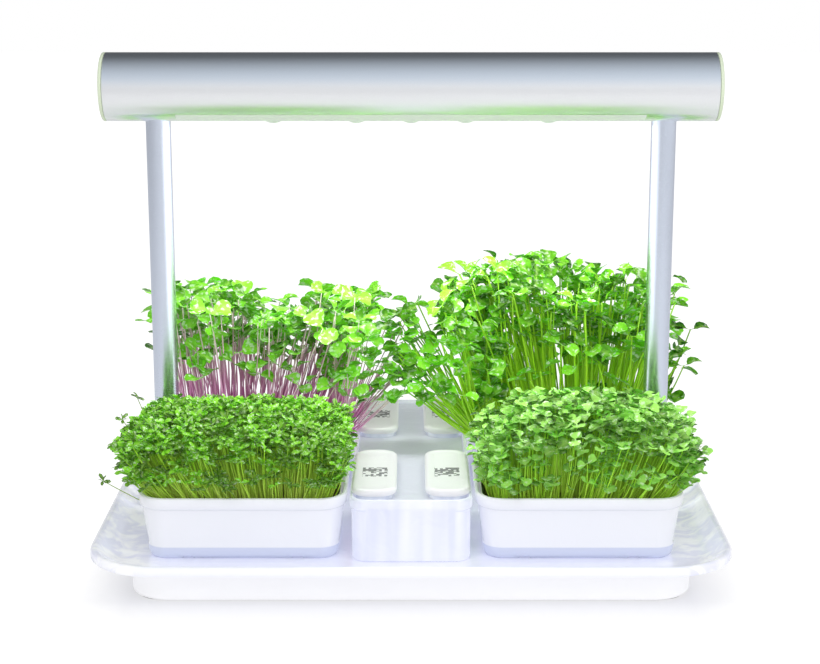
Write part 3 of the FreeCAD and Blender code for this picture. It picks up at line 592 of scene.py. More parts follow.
def applied(thing: bpy.types.Object) -> bpy.types.Object:
    """Bakes an object's modifiers into its mesh and removes them.

    Args:
        thing: A mesh object with modifiers.

    Returns:
        The same object.
    """
    graph = bpy.context.evaluated_depsgraph_get()
    graph.update()
    baked = bpy.data.meshes.new_from_object(thing.evaluated_get(graph))
    thing.modifiers.clear()
    thing.data = baked
    return thing


def cut(thing: bpy.types.Object, cutters: Sequence[bpy.types.Object]) -> None:
    """Cuts other objects out of one and removes them.

    Args:
        thing: The object that is cut.
        cutters: The objects that leave their holes in it.
    """
    for cutter in cutters:
        thing.modifiers.new("hole", "BOOLEAN").object = cutter
    applied(thing)
    for cutter in cutters:
        bpy.data.objects.remove(cutter)


def put(thing: bpy.types.Object, body: str, *nodes: str, slot: str = "") -> bpy.types.Object:
    """Rides a finished piece on its body, in place of the nodes it stands for.

    Args:
        thing: The piece.
        body: The body that carries it.
        nodes: The nodes it replaces.
        slot: The record's material slot; not used.

    Returns:
        The same piece.
    """
    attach(thing, body)
    if nodes:
        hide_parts(*nodes)
    LOG.info("piece %s on %s", thing.name, body)
    return thing


def box_of(node: str) -> tuple[Vector, Vector, Pair, Pair]:
    """A node's box, with its middle and half its size as seen from above.

    Args:
        node: The node.

    Returns:
        The low corner, the high corner, the middle and half the width and depth.
    """
    low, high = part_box(node)
    centre = ((low.x + high.x) / 2, (low.y + high.y) / 2)
    half = ((high.x - low.x) / 2, (high.y - low.y) / 2)
    return low, high, centre, half


def circle(count: int) -> list[Pair]:
    """Points of a unit circle, anticlockwise.

    Args:
        count: How many.

    Returns:
        The points.
    """
    angles = [2 * math.pi * step / count for step in range(count)]
    return [(math.cos(angle), math.sin(angle)) for angle in angles]


def ring(half: Pair, bend: float, level: float, centre: Pair = (0.0, 0.0), steps: int = 12) -> list[Point]:
    """A level rounded rectangle as a loop of points.

    Args:
        half: Half its width and half its depth.
        bend: Its corner radius.
        level: Its height.
        centre: Its middle.
        steps: Pieces of each corner's arc.

    Returns:
        The points, anticlockwise from above.
    """
    bend = max(bend, 0.0002)
    loop = []
    for turn, (side_x, side_y) in enumerate(((1, -1), (1, 1), (-1, 1), (-1, -1))):
        middle_x = centre[0] + side_x * (half[0] - bend)
        middle_y = centre[1] + side_y * (half[1] - bend)
        for step in range(steps + 1):
            angle = (turn - 1 + step / steps) * math.pi / 2
            loop.append((middle_x + bend * math.cos(angle), middle_y + bend * math.sin(angle), level))
    return loop


def walls(
    section: Iterable[Pair], half: Pair, bend: float, centre: Pair = (0.0, 0.0), steps: int = 12
) -> list[list[Point]]:
    """Rounded rectangles that follow the section of a wall.

    Args:
        section: Distances outwards and levels.
        half: Half the width and half the depth where the distance is 0.
        bend: The corner radius there.
        centre: Their middle.
        steps: Pieces of each corner's arc.

    Returns:
        One ring for each point of the section.
    """
    return [
        ring((half[0] + out, half[1] + out), bend + out, level, centre, steps) for out, level in section
    ]


def bands(rows: int, count: int, closed: bool = False) -> list[tuple[int, ...]]:
    """The faces between one ring of points and the next.

    Args:
        rows: How many rings.
        count: Points in each ring.
        closed: Joins the last ring to the first.

    Returns:
        Four point numbers for each face.
    """
    faces = []
    for row in range(rows if closed else rows - 1):
        here, there = row * count, ((row + 1) % rows) * count
        for column in range(count):
            after = (column + 1) % count
            faces.append((here + column, here + after, there + after, there + column))
    return faces


def skin(
    name: str, rings: Sequence[Sequence[Point]], loop: bool = False, crease: float = 40.0
) -> bpy.types.Object:
    """A surface through rings of equal length, capped at its ends or closed on itself.

    Args:
        name: The object's name.
        rings: The rings in order.
        loop: Joins the last ring to the first in place of caps.
        crease: Edges sharper than this many degrees stay sharp.

    Returns:
        The closed mesh object.
    """
    count = len(rings[0])
    points = [point for one in rings for point in one]
    faces = bands(len(rings), count, loop)
    if not loop:
        faces.append(tuple(range(count)))
        faces.append(tuple(range((len(rings) - 1) * count, len(rings) * count)))
    return mesh_object(name, points, faces, crease)


def prism(
    name: str, half: Pair, bend: float, levels: Pair, centre: Pair = (0.0, 0.0)
) -> bpy.types.Object:
    """A block with rounded corners.

    Args:
        name: The object's name.
        half: Half its width and half its depth.
        bend: Its corner radius.
        levels: Its bottom and its top.
        centre: Its middle.

    Returns:
        The closed mesh object.
    """
    return skin(name, [ring(half, bend, level, centre) for level in levels])


def rounded_corner(
    out: float, level: float, radius: float, start: float, end: float, steps: int = 5
) -> list[Pair]:
    """Arc points of a wall's section, as distances out and levels.

    Args:
        out: The arc centre's distance out.
        level: The arc centre's level.
        radius: The arc's radius.
        start: First angle in degrees, 0 pointing outwards.
        end: Last angle in degrees.
        steps: How many pieces.

    Returns:
        The points of the arc.
    """
    arc = []
    for step in range(steps + 1):
        angle = math.radians(start + (end - start) * step / steps)
        arc.append((out + radius * math.cos(angle), level + radius * math.sin(angle)))
    return arc


def area_light(name: str, where: Point, sides: Pair, power: float) -> bpy.types.Object:
    """A rectangular lamp that shines downwards until it is turned.

    Args:
        name: Its name.
        where: Its place.
        sides: Its width and depth.
        power: Its power in watts.

    Returns:
        The lamp, linked to the scene.
    """
    light = bpy.data.lights.new(name, "AREA")
    light.shape = "RECTANGLE"
    light.size, light.size_y = sides
    light.energy = power
    thing = bpy.data.objects.new(name, light)
    thing.location = where
    bpy.context.scene.collection.objects.link(thing)
    return thing


@dataclass
class Stage:
    """The floor, the white surroundings, the lamps of the studio and the camera.

    The lamps are given by name, place, side and power.
    """

    camera_at: Point = (0.0, -1.5845, 0.5576)
    camera_down: float = 13.01
    focal: float = 79.0
    sensor: float = 36.0
    centre_pixel: float = 411.0
    picture_width: float = 820.0
    floor_half: float = 6.0
    floor_glow: float = 1.14
    floor_share: float = 0.95
    shadow_share: float = 0.78
    shadow_half: Pair = (0.235, 0.172)
    shadow_reach: float = 0.07
    lamps: tuple[tuple[str, Point, float, float], ...] = (
        ("key", (-0.6, -1.4, 1.6), 1.3, 8.5),
        ("fill", (1.0, -1.2, 1.0), 1.2, 6.0),
        ("back", (0.0, 1.5, 1.3), 1.2, 4.0),
    )
    lamps_aim: Point = (0.0, 0.0, 0.15)
    grow_at: Point = (0.0, 0.0, 0.379)
    grow_sides: Pair = (0.40, 0.03)
    grow_power: float = 0.72
    gleam_at: Point = (0.0, -0.09, 0.20)
    gleam_sides: Pair = (0.34, 0.62)
    gleam_power: float = 0.30
    gleam_spread: float = 115.0

    def build(self) -> None:
        """Makes everything that isn't part of the object."""
        self.floor()
        self.world()
        self.studio_lamps()
        area_light("grow_light", self.grow_at, self.grow_sides, self.grow_power)
        self.glow_panels()
        self.camera()
        bpy.context.scene.view_settings.view_transform = "Standard"

    def floor(self) -> None:
        """A pale floor that looks white to the camera and keeps the object's shadow, with a painted shadow
        greying it round the plinth.
        """
        size = self.floor_half
        points = [(-size, -size, 0.0), (size, -size, 0.0), (size, size, 0.0), (-size, size, 0.0)]
        floor = mesh_object("studio_floor", points, [(0, 1, 2, 3)])
        material = bpy.data.materials.new("studio_floor")
        material.use_nodes = True
        graph = Graph(material.node_tree)
        plain = material.node_tree.nodes["Principled BSDF"]
        plain.inputs["Base Color"].default_value = (0.86, 0.86, 0.87, 1.0)
        plain.inputs["Roughness"].default_value = 0.9
        sockets = {"Color": (1.0, 1.0, 1.0, 1.0), "Strength": self.floor_glow}
        bright = graph.node("ShaderNodeEmission", None, sockets)
        seen = Term(graph, graph.node("ShaderNodeLightPath").outputs["Is Camera Ray"])
        x, y, _ = graph.place()
        # Painted shadow: round the plinth's footprint the floor gives less of its white glow and more of its
        # lit grey surface.
        out_x = (abs(x) - self.shadow_half[0]).most(0.0)
        out_y = (abs(y) - self.shadow_half[1]).most(0.0)
        near = (1.0 - (out_x + out_y) / self.shadow_reach).most(0.0)
        share = seen * (self.floor_share - near * self.shadow_share)
        sockets = {0: share, 1: plain.outputs[0], 2: bright.outputs[0]}
        mix = graph.node("ShaderNodeMixShader", None, sockets)
        output = material.node_tree.nodes["Material Output"]
        graph.feed(output.inputs["Surface"], mix.outputs[0])
        floor.data.materials.append(material)

    def world(self) -> None:
        """White surroundings that are greyer overhead in reflections."""
        world = bpy.data.worlds.new("studio")
        bpy.context.scene.world = world
        world.use_nodes = True
        graph = Graph(world.node_tree)
        back = world.node_tree.nodes["Background"]
        path = graph.node("ShaderNodeLightPath")
        side, depth, rise = graph.place("Generated")
        seen = Term(graph, path.outputs["Is Camera Ray"])
        glossy = Term(graph, path.outputs["Is Glossy Ray"])
        ahead = 0.36 - depth * 0.52 + side * 0.25
        horizon = ((0.22 - rise) * 6.0).clamped() * (0.92 + side * 0.50 - depth.most(0.0) * 0.45)
        mirrored = ahead.most(horizon).most(0.08)
        plain = 0.68 * (1.0 - glossy) + glossy * mirrored
        strength = seen + (1.0 - seen) * plain
        cool = glossy * ((rise - 0.1) * 3.0).clamped()
        graph.feed(back.inputs["Color"], graph.mix(cool, (1.0, 1.0, 1.0), (0.78, 0.88, 1.0)))
        graph.feed(back.inputs["Strength"], strength)

    def studio_lamps(self) -> None:
        """The soft studio lamps, aimed at the object and kept out of its reflections."""
        for name, where, side, power in self.lamps:
            lamp = area_light(name, where, (side, side), power)
            aim = Vector(self.lamps_aim) - Vector(where)
            lamp.rotation_euler = aim.to_track_quat("-Z", "Y").to_euler()
            lamp.visible_glossy = False

    def glow_panels(self) -> None:
        """Two panels back to back between the posts, seen only as a gleam on their inner sides."""
        for name, turn in (("gleam_left", 90.0), ("gleam_right", -90.0)):
            panel = area_light(name, self.gleam_at, self.gleam_sides, self.gleam_power)
            panel.data.spread = math.radians(self.gleam_spread)
            panel.rotation_euler = (0.0, math.radians(turn), 0.0)
            panel.visible_camera = False
            panel.visible_diffuse = False

    def camera(self) -> None:
        """The camera at the photograph's place."""
        data = bpy.data.cameras.new("camera")
        data.lens = self.focal
        data.sensor_width = self.sensor
        data.shift_x = -(self.centre_pixel - self.picture_width / 2) / self.picture_width
        camera = bpy.data.objects.new("camera", data)
        camera.location = self.camera_at
        camera.rotation_euler = (math.radians(90.0 - self.camera_down), 0.0, 0.0)
        bpy.context.scene.collection.objects.link(camera)
        bpy.context.scene.camera = camera


@dataclass
class Base:
    """The plinth, the flared basin on it and the reservoir between the trays."""

    wall: float = 2.5 * MM
    floor_half: Pair = (0.241, 0.165)
    floor_bend: float = 0.03
    rim_bend: float = 0.06
    rim_band: float = 0.006
    rim_drop: float = 0.008
    flare_steps: int = 9
    flare_curve: float = 2.1
    plinth_round: float = 0.003
    plinth_bend: float = 0.035
    plinth_ledge: float = 0.014
    hole_level: float = 0.015
    holes: tuple[tuple[str, float], ...] = (("power_button", 0.0063), ("power_inlet", 0.0058))
    tub_bend: float = 0.014
    tub_band: float = 0.009
    tub_proud: float = 0.0015
    tub_wall: float = 0.002
    water_drop: float = 0.0035
    water_thick: float = 0.0025
    water_edge: float = 0.0004
    water_bend: float = 0.0115
    water_hole_bend: float = 0.0124

    def build(self) -> None:
        """Makes and places the base's pieces."""
        self.basin()
        self.plinth()
        self.tub()
        for side in ("left", "right"):
            paint(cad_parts[f"post_socket_{side}"], Plastic.BASE.value)
        plain = {
            "bottom_cover": Plastic.BASE, "cover_screws": MetalKind.STEEL, "rubber_feet": Plastic.RUBBER,
            "contact_pins": MetalKind.BRASS, "driver_board": Plastic.MASK_GREEN,
            "driver_parts": Plastic.DARK, "switch_block": Plastic.DARK,
            "power_inlet": Plastic.DARK, "power_button": Plastic.BASE,
        }
        for node, finish in plain.items():
            paint(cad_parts[node], finish.value)

    def basin(self) -> None:
        """The basin's shell with its curved flare and turned-down rim."""
        low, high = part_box("water_basin")
        half = (high.x, high.y)
        rim, floor = high.z, low.z + self.wall
        mouth = (half[0] - self.rim_band, half[1] - self.rim_band)
        rise = rim - 0.001 - floor
        under = rim - self.rim_drop
        rings = self._flare(mouth, floor, rise, 0.0)
        edge = [
            (-0.0045, rim - 0.0002), (-0.003, rim), (-0.0012, rim - 0.0005), (-0.0003, rim - 0.0016),
            (0.0, rim - 0.003), (0.0, under + 0.001), (-0.0006, under), (0.0005 - self.wall, under),
            (-self.wall, under + 0.001), (-self.wall, rim - self.wall),
        ]
        rings += walls(edge, half, self.rim_bend)
        rings += self._flare(mouth, floor - self.wall, rise, 0.002)[::-1]
        basin = skin("basin_shell", rings, crease=50.0)
        put(paint(basin, Plastic.BASIN.value), "base", "water_basin", slot="basin_white")

    def _flare(self, mouth: Pair, start: float, rise: float, grow: float) -> list[list[Point]]:
        """Rings from the basin's floor out to its mouth.

        Args:
            mouth: Half the mouth's width and depth.
            start: The lowest ring's level.
            rise: How far the rings climb.
            grow: How far outside the inner wall the lowest ring lies.

        Returns:
            The rings from the floor up.
        """
        rings = []
        for step in range(self.flare_steps + 1):
            share = step / self.flare_steps
            ends = zip(self.floor_half, mouth)
            half = tuple(first + (last - first) * share + grow * (1.0 - share) for first, last in ends)
            bend = self.floor_bend + (self.rim_bend - self.rim_band - self.floor_bend) * share
            rings.append(ring(half, bend, start + rise * share**self.flare_curve))
        return rings

    def plinth(self) -> None:
        """The plinth's wall with a rounded lower edge and its two drilled holes."""
        low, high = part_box("plinth_shell")
        wall, ledge, bend = self.wall, self.plinth_ledge, self.plinth_round
        section = [(0.0, high.z)]
        section += rounded_corner(-bend, low.z + bend, bend, 0, -90)
        section += [
            (-bend - 0.002, low.z), (-bend - 0.002, low.z + 0.0025), (-wall - 0.001, low.z + bend + 0.003),
            (-wall, high.z - wall), (-ledge, high.z - wall), (-ledge, high.z),
        ]
        rings = walls(section, (high.x, high.y), self.plinth_bend, steps=16)
        plinth = skin("plinth_wall", rings, loop=True)
        cutters = []
        for node, radius in self.holes:
            _, _, centre, _ = box_of(node)
            middle = (centre[0], high.y - wall / 2, self.hole_level)
            bpy.ops.mesh.primitive_cylinder_add(
                vertices=40, radius=radius, depth=0.02, location=middle, rotation=(math.pi / 2, 0, 0)
            )
            cutters.append(bpy.context.object)
        cut(plinth, cutters)
        put(paint(plinth, Plastic.BASE.value), "base", "plinth_shell", slot="base_white")

    def tub(self) -> None:
        """The reservoir: open above, with a thicker band round its rim."""
        low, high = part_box("reservoir_tub")
        half, band, inner = (high.x, high.y), high.z - self.tub_band, -self.tub_wall
        foot = (half[0] - self.tub_proud, half[1] - self.tub_proud)
        section = [
            (foot, -0.003, low.z), (foot, -0.0008, low.z + 0.001), (foot, 0.0, low.z + 0.003),
            (foot, 0.0, band - 0.001), (half, 0.0, band + 0.0008), (half, 0.0, high.z - 0.0015),
            (half, -0.0008, high.z - 0.0003), (half, -0.002, high.z), (foot, inner + 0.0005, high.z),
            (foot, inner, high.z - 0.001), (foot, inner, low.z + 0.006), (foot, inner - 0.004, low.z + 0.002),
        ]
        rings = [
            ring((size[0] + out, size[1] + out), self.tub_bend + out, level) for size, out, level in section
        ]
        tub = skin("reservoir_wall", rings)
        put(paint(tub, Plastic.TUB.value), "base", "reservoir_tub", slot="tub_clear")
        self.water((foot[0] + inner, foot[1] + inner), high.z - self.water_drop)

    def water(self, half: Pair, level: float) -> None:
        """The still water near the reservoir's brim, open round each cartridge.

        Args:
            half: Half the reservoir's inside width and depth.
            level: The water's level.
        """
        edge = self.water_edge
        reach = (half[0] - edge, half[1] - edge)
        water = prism("reservoir_water", reach, self.water_bend, (level - self.water_thick, level))
        cutters = []
        for corner in CORNERS:
            _, _, centre, size = box_of(f"cartridge_flask_{corner}")
            size = (size[0] + edge, size[1] + edge)
            levels = (level - 0.01, level + 0.01)
            cutters.append(prism("cutter", size, self.water_hole_bend, levels, centre))
        cut(water, cutters)
        water.data.shade_flat()
        put(paint(water, Plastic.WATER.value), "base")


@dataclass
class LightFrame:
    """The posts and the tube lamp."""

    segments: int = 96
    window_half: float = 0.020
    window_long: float = 0.205
    window_steps: int = 12
    tube_wall: float = 0.0025
    tube_bevel: float = 0.0006
    post_segments: int = 64

    def build(self) -> None:
        """Makes and places the light frame's pieces."""
        self.tube()
        self.end_caps()
        for side in ("left", "right"):
            self.post(side)
            paint(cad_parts[f"post_plug_{side}"], Plastic.NYLON.value)
            paint(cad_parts[f"post_saddle_{side}"], Plastic.NYLON.value)
        paint(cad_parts["saddle_screws"], MetalKind.STEEL.value)
        paint(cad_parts["led_board"], Plastic.MASK_WHITE.value)
        paint(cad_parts["led_chips"], Plastic.PHOSPHOR.value)
        glow = Glow("diffuser_glow", (0.66, 0.68, 0.66), 0.4, strength=0.3)
        paint(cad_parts["lamp_diffuser"], glow)

    def tube(self) -> None:
        """The round tube with its window for the diffuser, given its wall inwards."""
        low, high, _, half = box_of("lamp_tube")
        radius, axis = half[1], (high.z + low.z) / 2
        inner_ends = (low.x + self.tube_bevel, high.x - self.tube_bevel)
        stops = [low.x, inner_ends[0], -self.window_long, self.window_long, inner_ends[1], high.x]
        drops = [0.0005, 0.0, 0.0, 0.0, 0.0, 0.0005]
        down, gap = -math.pi / 2, math.asin(self.window_half / radius)
        rest = 2 * math.pi - 2 * gap
        around = [down + gap + rest * step / self.segments for step in range(self.segments + 1)]
        around += [down - gap + 2 * gap * step / self.window_steps for step in range(1, self.window_steps)]
        points = [
            (x, (radius - drop) * math.cos(angle), axis + (radius - drop) * math.sin(angle))
            for x, drop in zip(stops, drops)
            for angle in around
        ]
        faces = [
            face for number, face in enumerate(bands(len(stops), len(around)))
            if number // len(around) != 2 or number % len(around) < self.segments
        ]
        tube = mesh_object("lamp_shell", points, faces, crease=30.0)
        wall = tube.modifiers.new("wall", "SOLIDIFY")
        wall.thickness = self.tube_wall
        wall.offset = -1.0
        applied(tube)
        put(paint(tube, MetalKind.LAMP.value), "light_frame", "lamp_tube", slot="lamp_aluminium")

    def end_caps(self) -> None:
        """The two slightly domed end caps."""
        for side, sign in (("left", -1), ("right", 1)):
            low, high, _, half = box_of(f"lamp_end_cap_{side}")
            axis, radius = (low.z + high.z) / 2, half[1]
            outer = high.x if sign > 0 else low.x
            profile = [
                (-0.003, radius), (-0.0012, radius), (-0.0004, radius - 0.0005), (0.0, radius - 0.0014),
                (0.0, radius * 0.5), (0.0, 0.0006),
            ]
            rings = [
                [(outer + sign * out, reach * cos, axis + reach * sin) for cos, sin in circle(self.segments)]
                for out, reach in profile
            ]
            cap = skin(f"end_cap_{side}", rings)
            paint(cap, Plastic.END_CAP.value)
            put(cap, "light_frame", f"lamp_end_cap_{side}", slot="end_cap_green")

    def post(self, side: str) -> None:
        """One round post.

        Args:
            side: left or right.
        """
        low, high, middle, half = box_of(f"post_{side}")
        radius, around = half[0], circle(self.post_segments)
        section = [
            (radius - 0.0015, high.z), (radius, high.z), (radius, low.z + 0.001), (radius - 0.001, low.z),
            (radius - 0.0015, low.z),
        ]
        rings = [
            [(middle[0] + reach * cos, middle[1] + reach * sin, level) for cos, sin in around]
            for reach, level in section
        ]
        post = skin(f"post_tube_{side}", rings, loop=True)
        put(paint(post, MetalKind.SHADED_POST.value), "light_frame", f"post_{side}", slot="lamp_aluminium")


@dataclass
class TrayStack:
    """One grow tray with its insert and mat."""

    corner: str
    wall: float = 0.002
    taper: float = 0.007
    band: float = 0.010
    skirt: float = 0.011
    bend: float = 0.024
    notch: float = 0.046
    notch_half: Pair = (0.0045, 0.07)
    notch_deep: float = 0.002
    mat_bend: float = 0.014
    mat_soft: float = 0.0012
    mat_swell: float = 0.0004

    def build(self) -> None:
        """Makes and places the tray and its mat, and paints its insert."""
        node = f"grow_tray_{self.corner}"
        low, high, centre, half = box_of(node)
        tall = high.z - low.z
        inner = -self.wall * 2
        floor = -self.taper + inner - 0.001
        foot = -self.taper - self.wall
        band = tall - self.band
        skirt = foot + self.taper * (self.skirt / tall)
        section = [
            (floor, 0.004), (floor + 0.002, 0.0025), (inner, tall - 0.0015), (inner + 0.0006, tall - 0.0004),
            (inner + 0.0015, tall), (-0.0018, tall), (-0.0006, tall - 0.0006), (0.0, tall - 0.002),
            (-0.0006, band + 0.001), (-0.0012, band), (-0.0026, band - 0.0006), (skirt, self.skirt + 0.0012),
            (skirt + 0.0009, self.skirt - 0.0004), (foot + 0.0012, 0.004), (foot, 0.0012),
            (foot - 0.002, 0.0),
        ]
        levels = [(out, low.z + level) for out, level in section]
        tray = skin(f"tray_{self.corner}", walls(levels, half, self.bend, centre, 14))
        cutters = []
        for side in (-1, 1):
            middle = (centre[0] + side * self.notch, centre[1])
            cutters.append(prism(
                "cutter", self.notch_half, 0.002, (low.z - self.notch_deep, low.z + self.notch_deep), middle
            ))
        cut(tray, cutters)
        put(paint(tray, Plastic.TRAY.value), f"tray_{self.corner}", node, slot="tray_white")
        paint(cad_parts[f"grow_insert_{self.corner}"], Plastic.INSERT.value)
        self.mat()

    def mat(self) -> None:
        """The seed mat: a soft slab with rounded edges and an uneven top."""
        node = f"seed_mat_{self.corner}"
        low, high, centre, half = box_of(node)
        soft, swell = self.mat_soft, self.mat_swell
        edge = [(-soft, low.z), (0.0, low.z + soft), (0.0, high.z - soft)]
        rings = walls(edge, half, self.mat_bend, centre)
        for share in (0.985, 0.9, 0.75, 0.6, 0.45, 0.3, 0.15):
            size = (half[0] * share, half[1] * share)
            level = ring(size, self.mat_bend * share, high.z - swell, centre)
            rings.append([
                (x, y, z + swell * math.sin(x * 900.0) * math.cos(y * 800.0)) for x, y, z in level
            ])
        mat = skin(f"mat_{self.corner}", rings)
        put(paint(mat, Plastic.FELT.value), f"insert_{self.corner}", node, slot="mat_felt")


@dataclass
class Cartridge:
    """One capped cartridge with the plain printed marks on its cap."""

    corner: str
    bend: float = 0.015
    marks: int = 11
    mark_pitch: float = 0.0021
    cap_round: float = 0.0028
    cap_sink: float = 0.0005

    def build(self) -> None:
        """Makes and places the cap and its marks."""
        node = f"cartridge_cap_{self.corner}"
        low, high, centre, half = box_of(node)
        bend = self.cap_round
        section = [(-0.002, low.z), (-0.0005, low.z + 0.0004), (0.0, low.z + 0.0015)]
        section += rounded_corner(-bend, high.z - bend, bend, 0, 90)
        section += [(-0.006, high.z), (-0.0075, high.z - 0.0004), (-0.009, high.z - self.cap_sink)]
        rings = walls(section, half, self.bend, centre)
        cap = skin(f"cap_{self.corner}", rings)
        put(paint(cap, Plastic.CAP.value), f"cartridge_{self.corner}", node, slot="cap_white")
        paint(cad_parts[f"cartridge_flask_{self.corner}"], Plastic.FLASK.value)
        self.print_marks(centre, half, high.z - self.cap_sink)

    def print_marks(self, centre: Pair, half: Pair, level: float) -> None:
        """A plain block of short bars, printed near the cap's middle.

        Args:
            centre: The cap's middle.
            half: Half its width and depth.
            level: Its top.
        """
        middle = (centre[0], centre[1] - half[1] * 0.12, level + 0.00005)
        carrier = mesh_object(f"marks_{self.corner}", [middle], [])
        modifier = carrier.modifiers.new("marks", "NODES")
        modifier.node_group = mark_tree()
        set_inputs(modifier, {"Count": self.marks, "Pitch": self.mark_pitch, "Seed": len(self.corner)})
        applied(carrier)
        put(paint(carrier, Plastic.INK.value), f"cartridge_{self.corner}")


def new_tree(
    name: str, inputs: Sequence[tuple[str, str, Any]]
) -> tuple[bpy.types.NodeTree, Graph, Any]:
    """Starts a geometry tree with named inputs.

    Args:
        name: The tree's name.
        inputs: Names, socket types and default values.

    Returns:
        The tree, its graph and its input node.
    """
    tree = bpy.data.node_groups.new(name, "GeometryNodeTree")
    tree.interface.new_socket("Geometry", in_out="INPUT", socket_type="NodeSocketGeometry")
    for label, kind, value in inputs:
        socket = tree.interface.new_socket(label, in_out="INPUT", socket_type=kind)
        if value is not None:
            socket.default_value = value
    tree.interface.new_socket("Geometry", in_out="OUTPUT", socket_type="NodeSocketGeometry")
    graph = Graph(tree)
    return tree, graph, graph.node("NodeGroupInput")


def set_inputs(modifier: bpy.types.NodesModifier, values: dict[str, Any]) -> None:
    """Sets a tree's named inputs through their identifiers.

    Args:
        modifier: The modifier that holds the tree.
        values: Input names and values.
    """
    for item in modifier.node_group.interface.items_tree:
        if item.item_type == "SOCKET" and item.in_out == "INPUT" and item.name in values:
            modifier[item.identifier] = values[item.name]


def finish_tree(graph: Graph, result: Any, material: Any) -> None:
    """Ends a tree in Realize Instances and Set Material.

    Args:
        graph: The tree's graph.
        result: The socket with the geometry.
        material: The socket with the material, or the material itself.
    """
    real = graph.node("GeometryNodeRealizeInstances", None, {0: result})
    dressed = graph.node("GeometryNodeSetMaterial", None, {"Geometry": real.outputs[0], "Material": material})
    out = graph.node("NodeGroupOutput")
    graph.feed(out.inputs[0], dressed.outputs[0])


def mark_tree() -> bpy.types.NodeTree:
    """A block of short printed bars round each point, with some left out by chance.

    Returns:
        The geometry tree, made once.
    """
    if "printed_marks" in bpy.data.node_groups:
        return bpy.data.node_groups["printed_marks"]
    inputs = [
        ("Count", "NodeSocketInt", 11), ("Pitch", "NodeSocketFloat", 0.002), ("Seed", "NodeSocketInt", 1),
    ]
    tree, graph, given = new_tree("printed_marks", inputs)
    count = given.outputs["Count"]
    pitch = Term(graph, given.outputs["Pitch"])
    side = pitch * Term(graph, count)
    sockets = {"Size X": side, "Size Y": side, "Vertices X": count, "Vertices Y": count}
    grid = graph.node("GeometryNodeMeshGrid", None, sockets)
    sockets = {"Probability": 0.55, "Seed": given.outputs["Seed"]}
    chance = graph.node("FunctionNodeRandomValue", {"data_type": "BOOLEAN"}, sockets)
    sockets = {"Size X": pitch * 1.1, "Size Y": pitch * 0.8, "Vertices X": 2, "Vertices Y": 2}
    bar = graph.node("GeometryNodeMeshGrid", None, sockets)
    bars = graph.on_points(grid.outputs[0], bar.outputs[0], Selection=chance.outputs[3])
    block = graph.on_points(given.outputs["Geometry"], bars)
    finish_tree(graph, block, material_of(Plastic.INK.value))
    return tree


def shoot_tree() -> bpy.types.NodeTree:
    """Stems and leaf heads on points that know where their tips are.

    Returns:
        The geometry tree, made once.
    """
    if "shoots" in bpy.data.node_groups:
        return bpy.data.node_groups["shoots"]
    inputs = [
        ("Stem", "NodeSocketObject", None), ("Head", "NodeSocketObject", None),
        ("Material", "NodeSocketMaterial", None), ("Stem Width", "NodeSocketFloat", 0.001),
        ("Head Size", "NodeSocketFloat", 1.0), ("Tilt", "NodeSocketFloat", 0.6),
        ("Show Heads", "NodeSocketBool", False), ("Seed", "NodeSocketInt", 1),
    ]
    tree, graph, given = new_tree("shoots", inputs)
    points, seed = given.outputs["Geometry"], given.outputs["Seed"]
    tip = graph.named("tip", "FLOAT_VECTOR")
    size = Term(graph, graph.named("size", "FLOAT"))
    turn = graph.drawn(0.0, 2 * math.pi, seed)
    tilt = Term(graph, given.outputs["Tilt"])
    lean = [graph.drawn(tilt * -1.0, tilt, Term(graph, seed) + shift) for shift in (1, 2)]
    length = graph.node("ShaderNodeVectorMath", {"operation": "LENGTH"}, {0: tip}).outputs["Value"]
    along = graph.node("FunctionNodeAlignRotationToVector", {"axis": "Z"}, {"Vector": tip})
    twist = graph.node("FunctionNodeAxisAngleToRotation", None, {"Angle": turn})
    sockets = {0: along.outputs[0], 1: twist.outputs[0]}
    stem_turn = graph.node("FunctionNodeRotateRotation", {"rotation_space": "LOCAL"}, sockets)
    thick = Term(graph, given.outputs["Stem Width"]) * size
    stem_size = graph.node("ShaderNodeCombineXYZ", None, {0: thick, 1: thick, 2: length})
    stem = graph.node("GeometryNodeObjectInfo", None, {"Object": given.outputs["Stem"]})
    stems = graph.on_points(
        points, stem.outputs["Geometry"], Rotation=stem_turn.outputs[0], Scale=stem_size.outputs[0]
    )
    moved = graph.node("GeometryNodeSetPosition", None, {"Geometry": points, "Offset": tip})
    head = graph.node("GeometryNodeObjectInfo", None, {"Object": given.outputs["Head"]})
    pose = graph.node("ShaderNodeCombineXYZ", None, {0: lean[0], 1: lean[1], 2: turn})
    grown = Term(graph, given.outputs["Head Size"]) * size
    heads = graph.on_points(
        moved.outputs[0], head.outputs["Geometry"], Rotation=pose.outputs[0], Scale=grown
    )
    sockets = {"Switch": given.outputs["Show Heads"], "False": stems, "True": heads}
    choose = graph.node("GeometryNodeSwitch", {"input_type": "GEOMETRY"}, sockets)
    finish_tree(graph, choose.outputs[0], given.outputs["Material"])
    return tree


def keep_value(mesh: bpy.types.Mesh, name: str, values: Sequence[float]) -> None:
    """Stores one number for each corner of a mesh.

    Args:
        mesh: The mesh.
        name: The attribute's name.
        values: One number for each corner.
    """
    attribute = mesh.attributes.new(name, "FLOAT", "POINT")
    attribute.data.foreach_set("value", list(values))


def shoot_part(
    name: str, points: Sequence[Any], faces: Sequence[Sequence[int]], kept: str, values: Sequence[float]
) -> bpy.types.Object:
    """Makes a part of a shoot that keeps one number for each of its points.

    Args:
        name: The object's name.
        points: Its corners.
        faces: Corner numbers of each face.
        kept: The name of the numbers.
        values: The numbers.

    Returns:
        The object, linked to the scene.
    """
    mesh = bpy.data.meshes.new(name)
    mesh.from_pydata([tuple(point) for point in points], [], faces)
    mesh.shade_smooth()
    keep_value(mesh, kept, values)
    part = bpy.data.objects.new(name, mesh)
    bpy.context.scene.collection.objects.link(part)
    return part


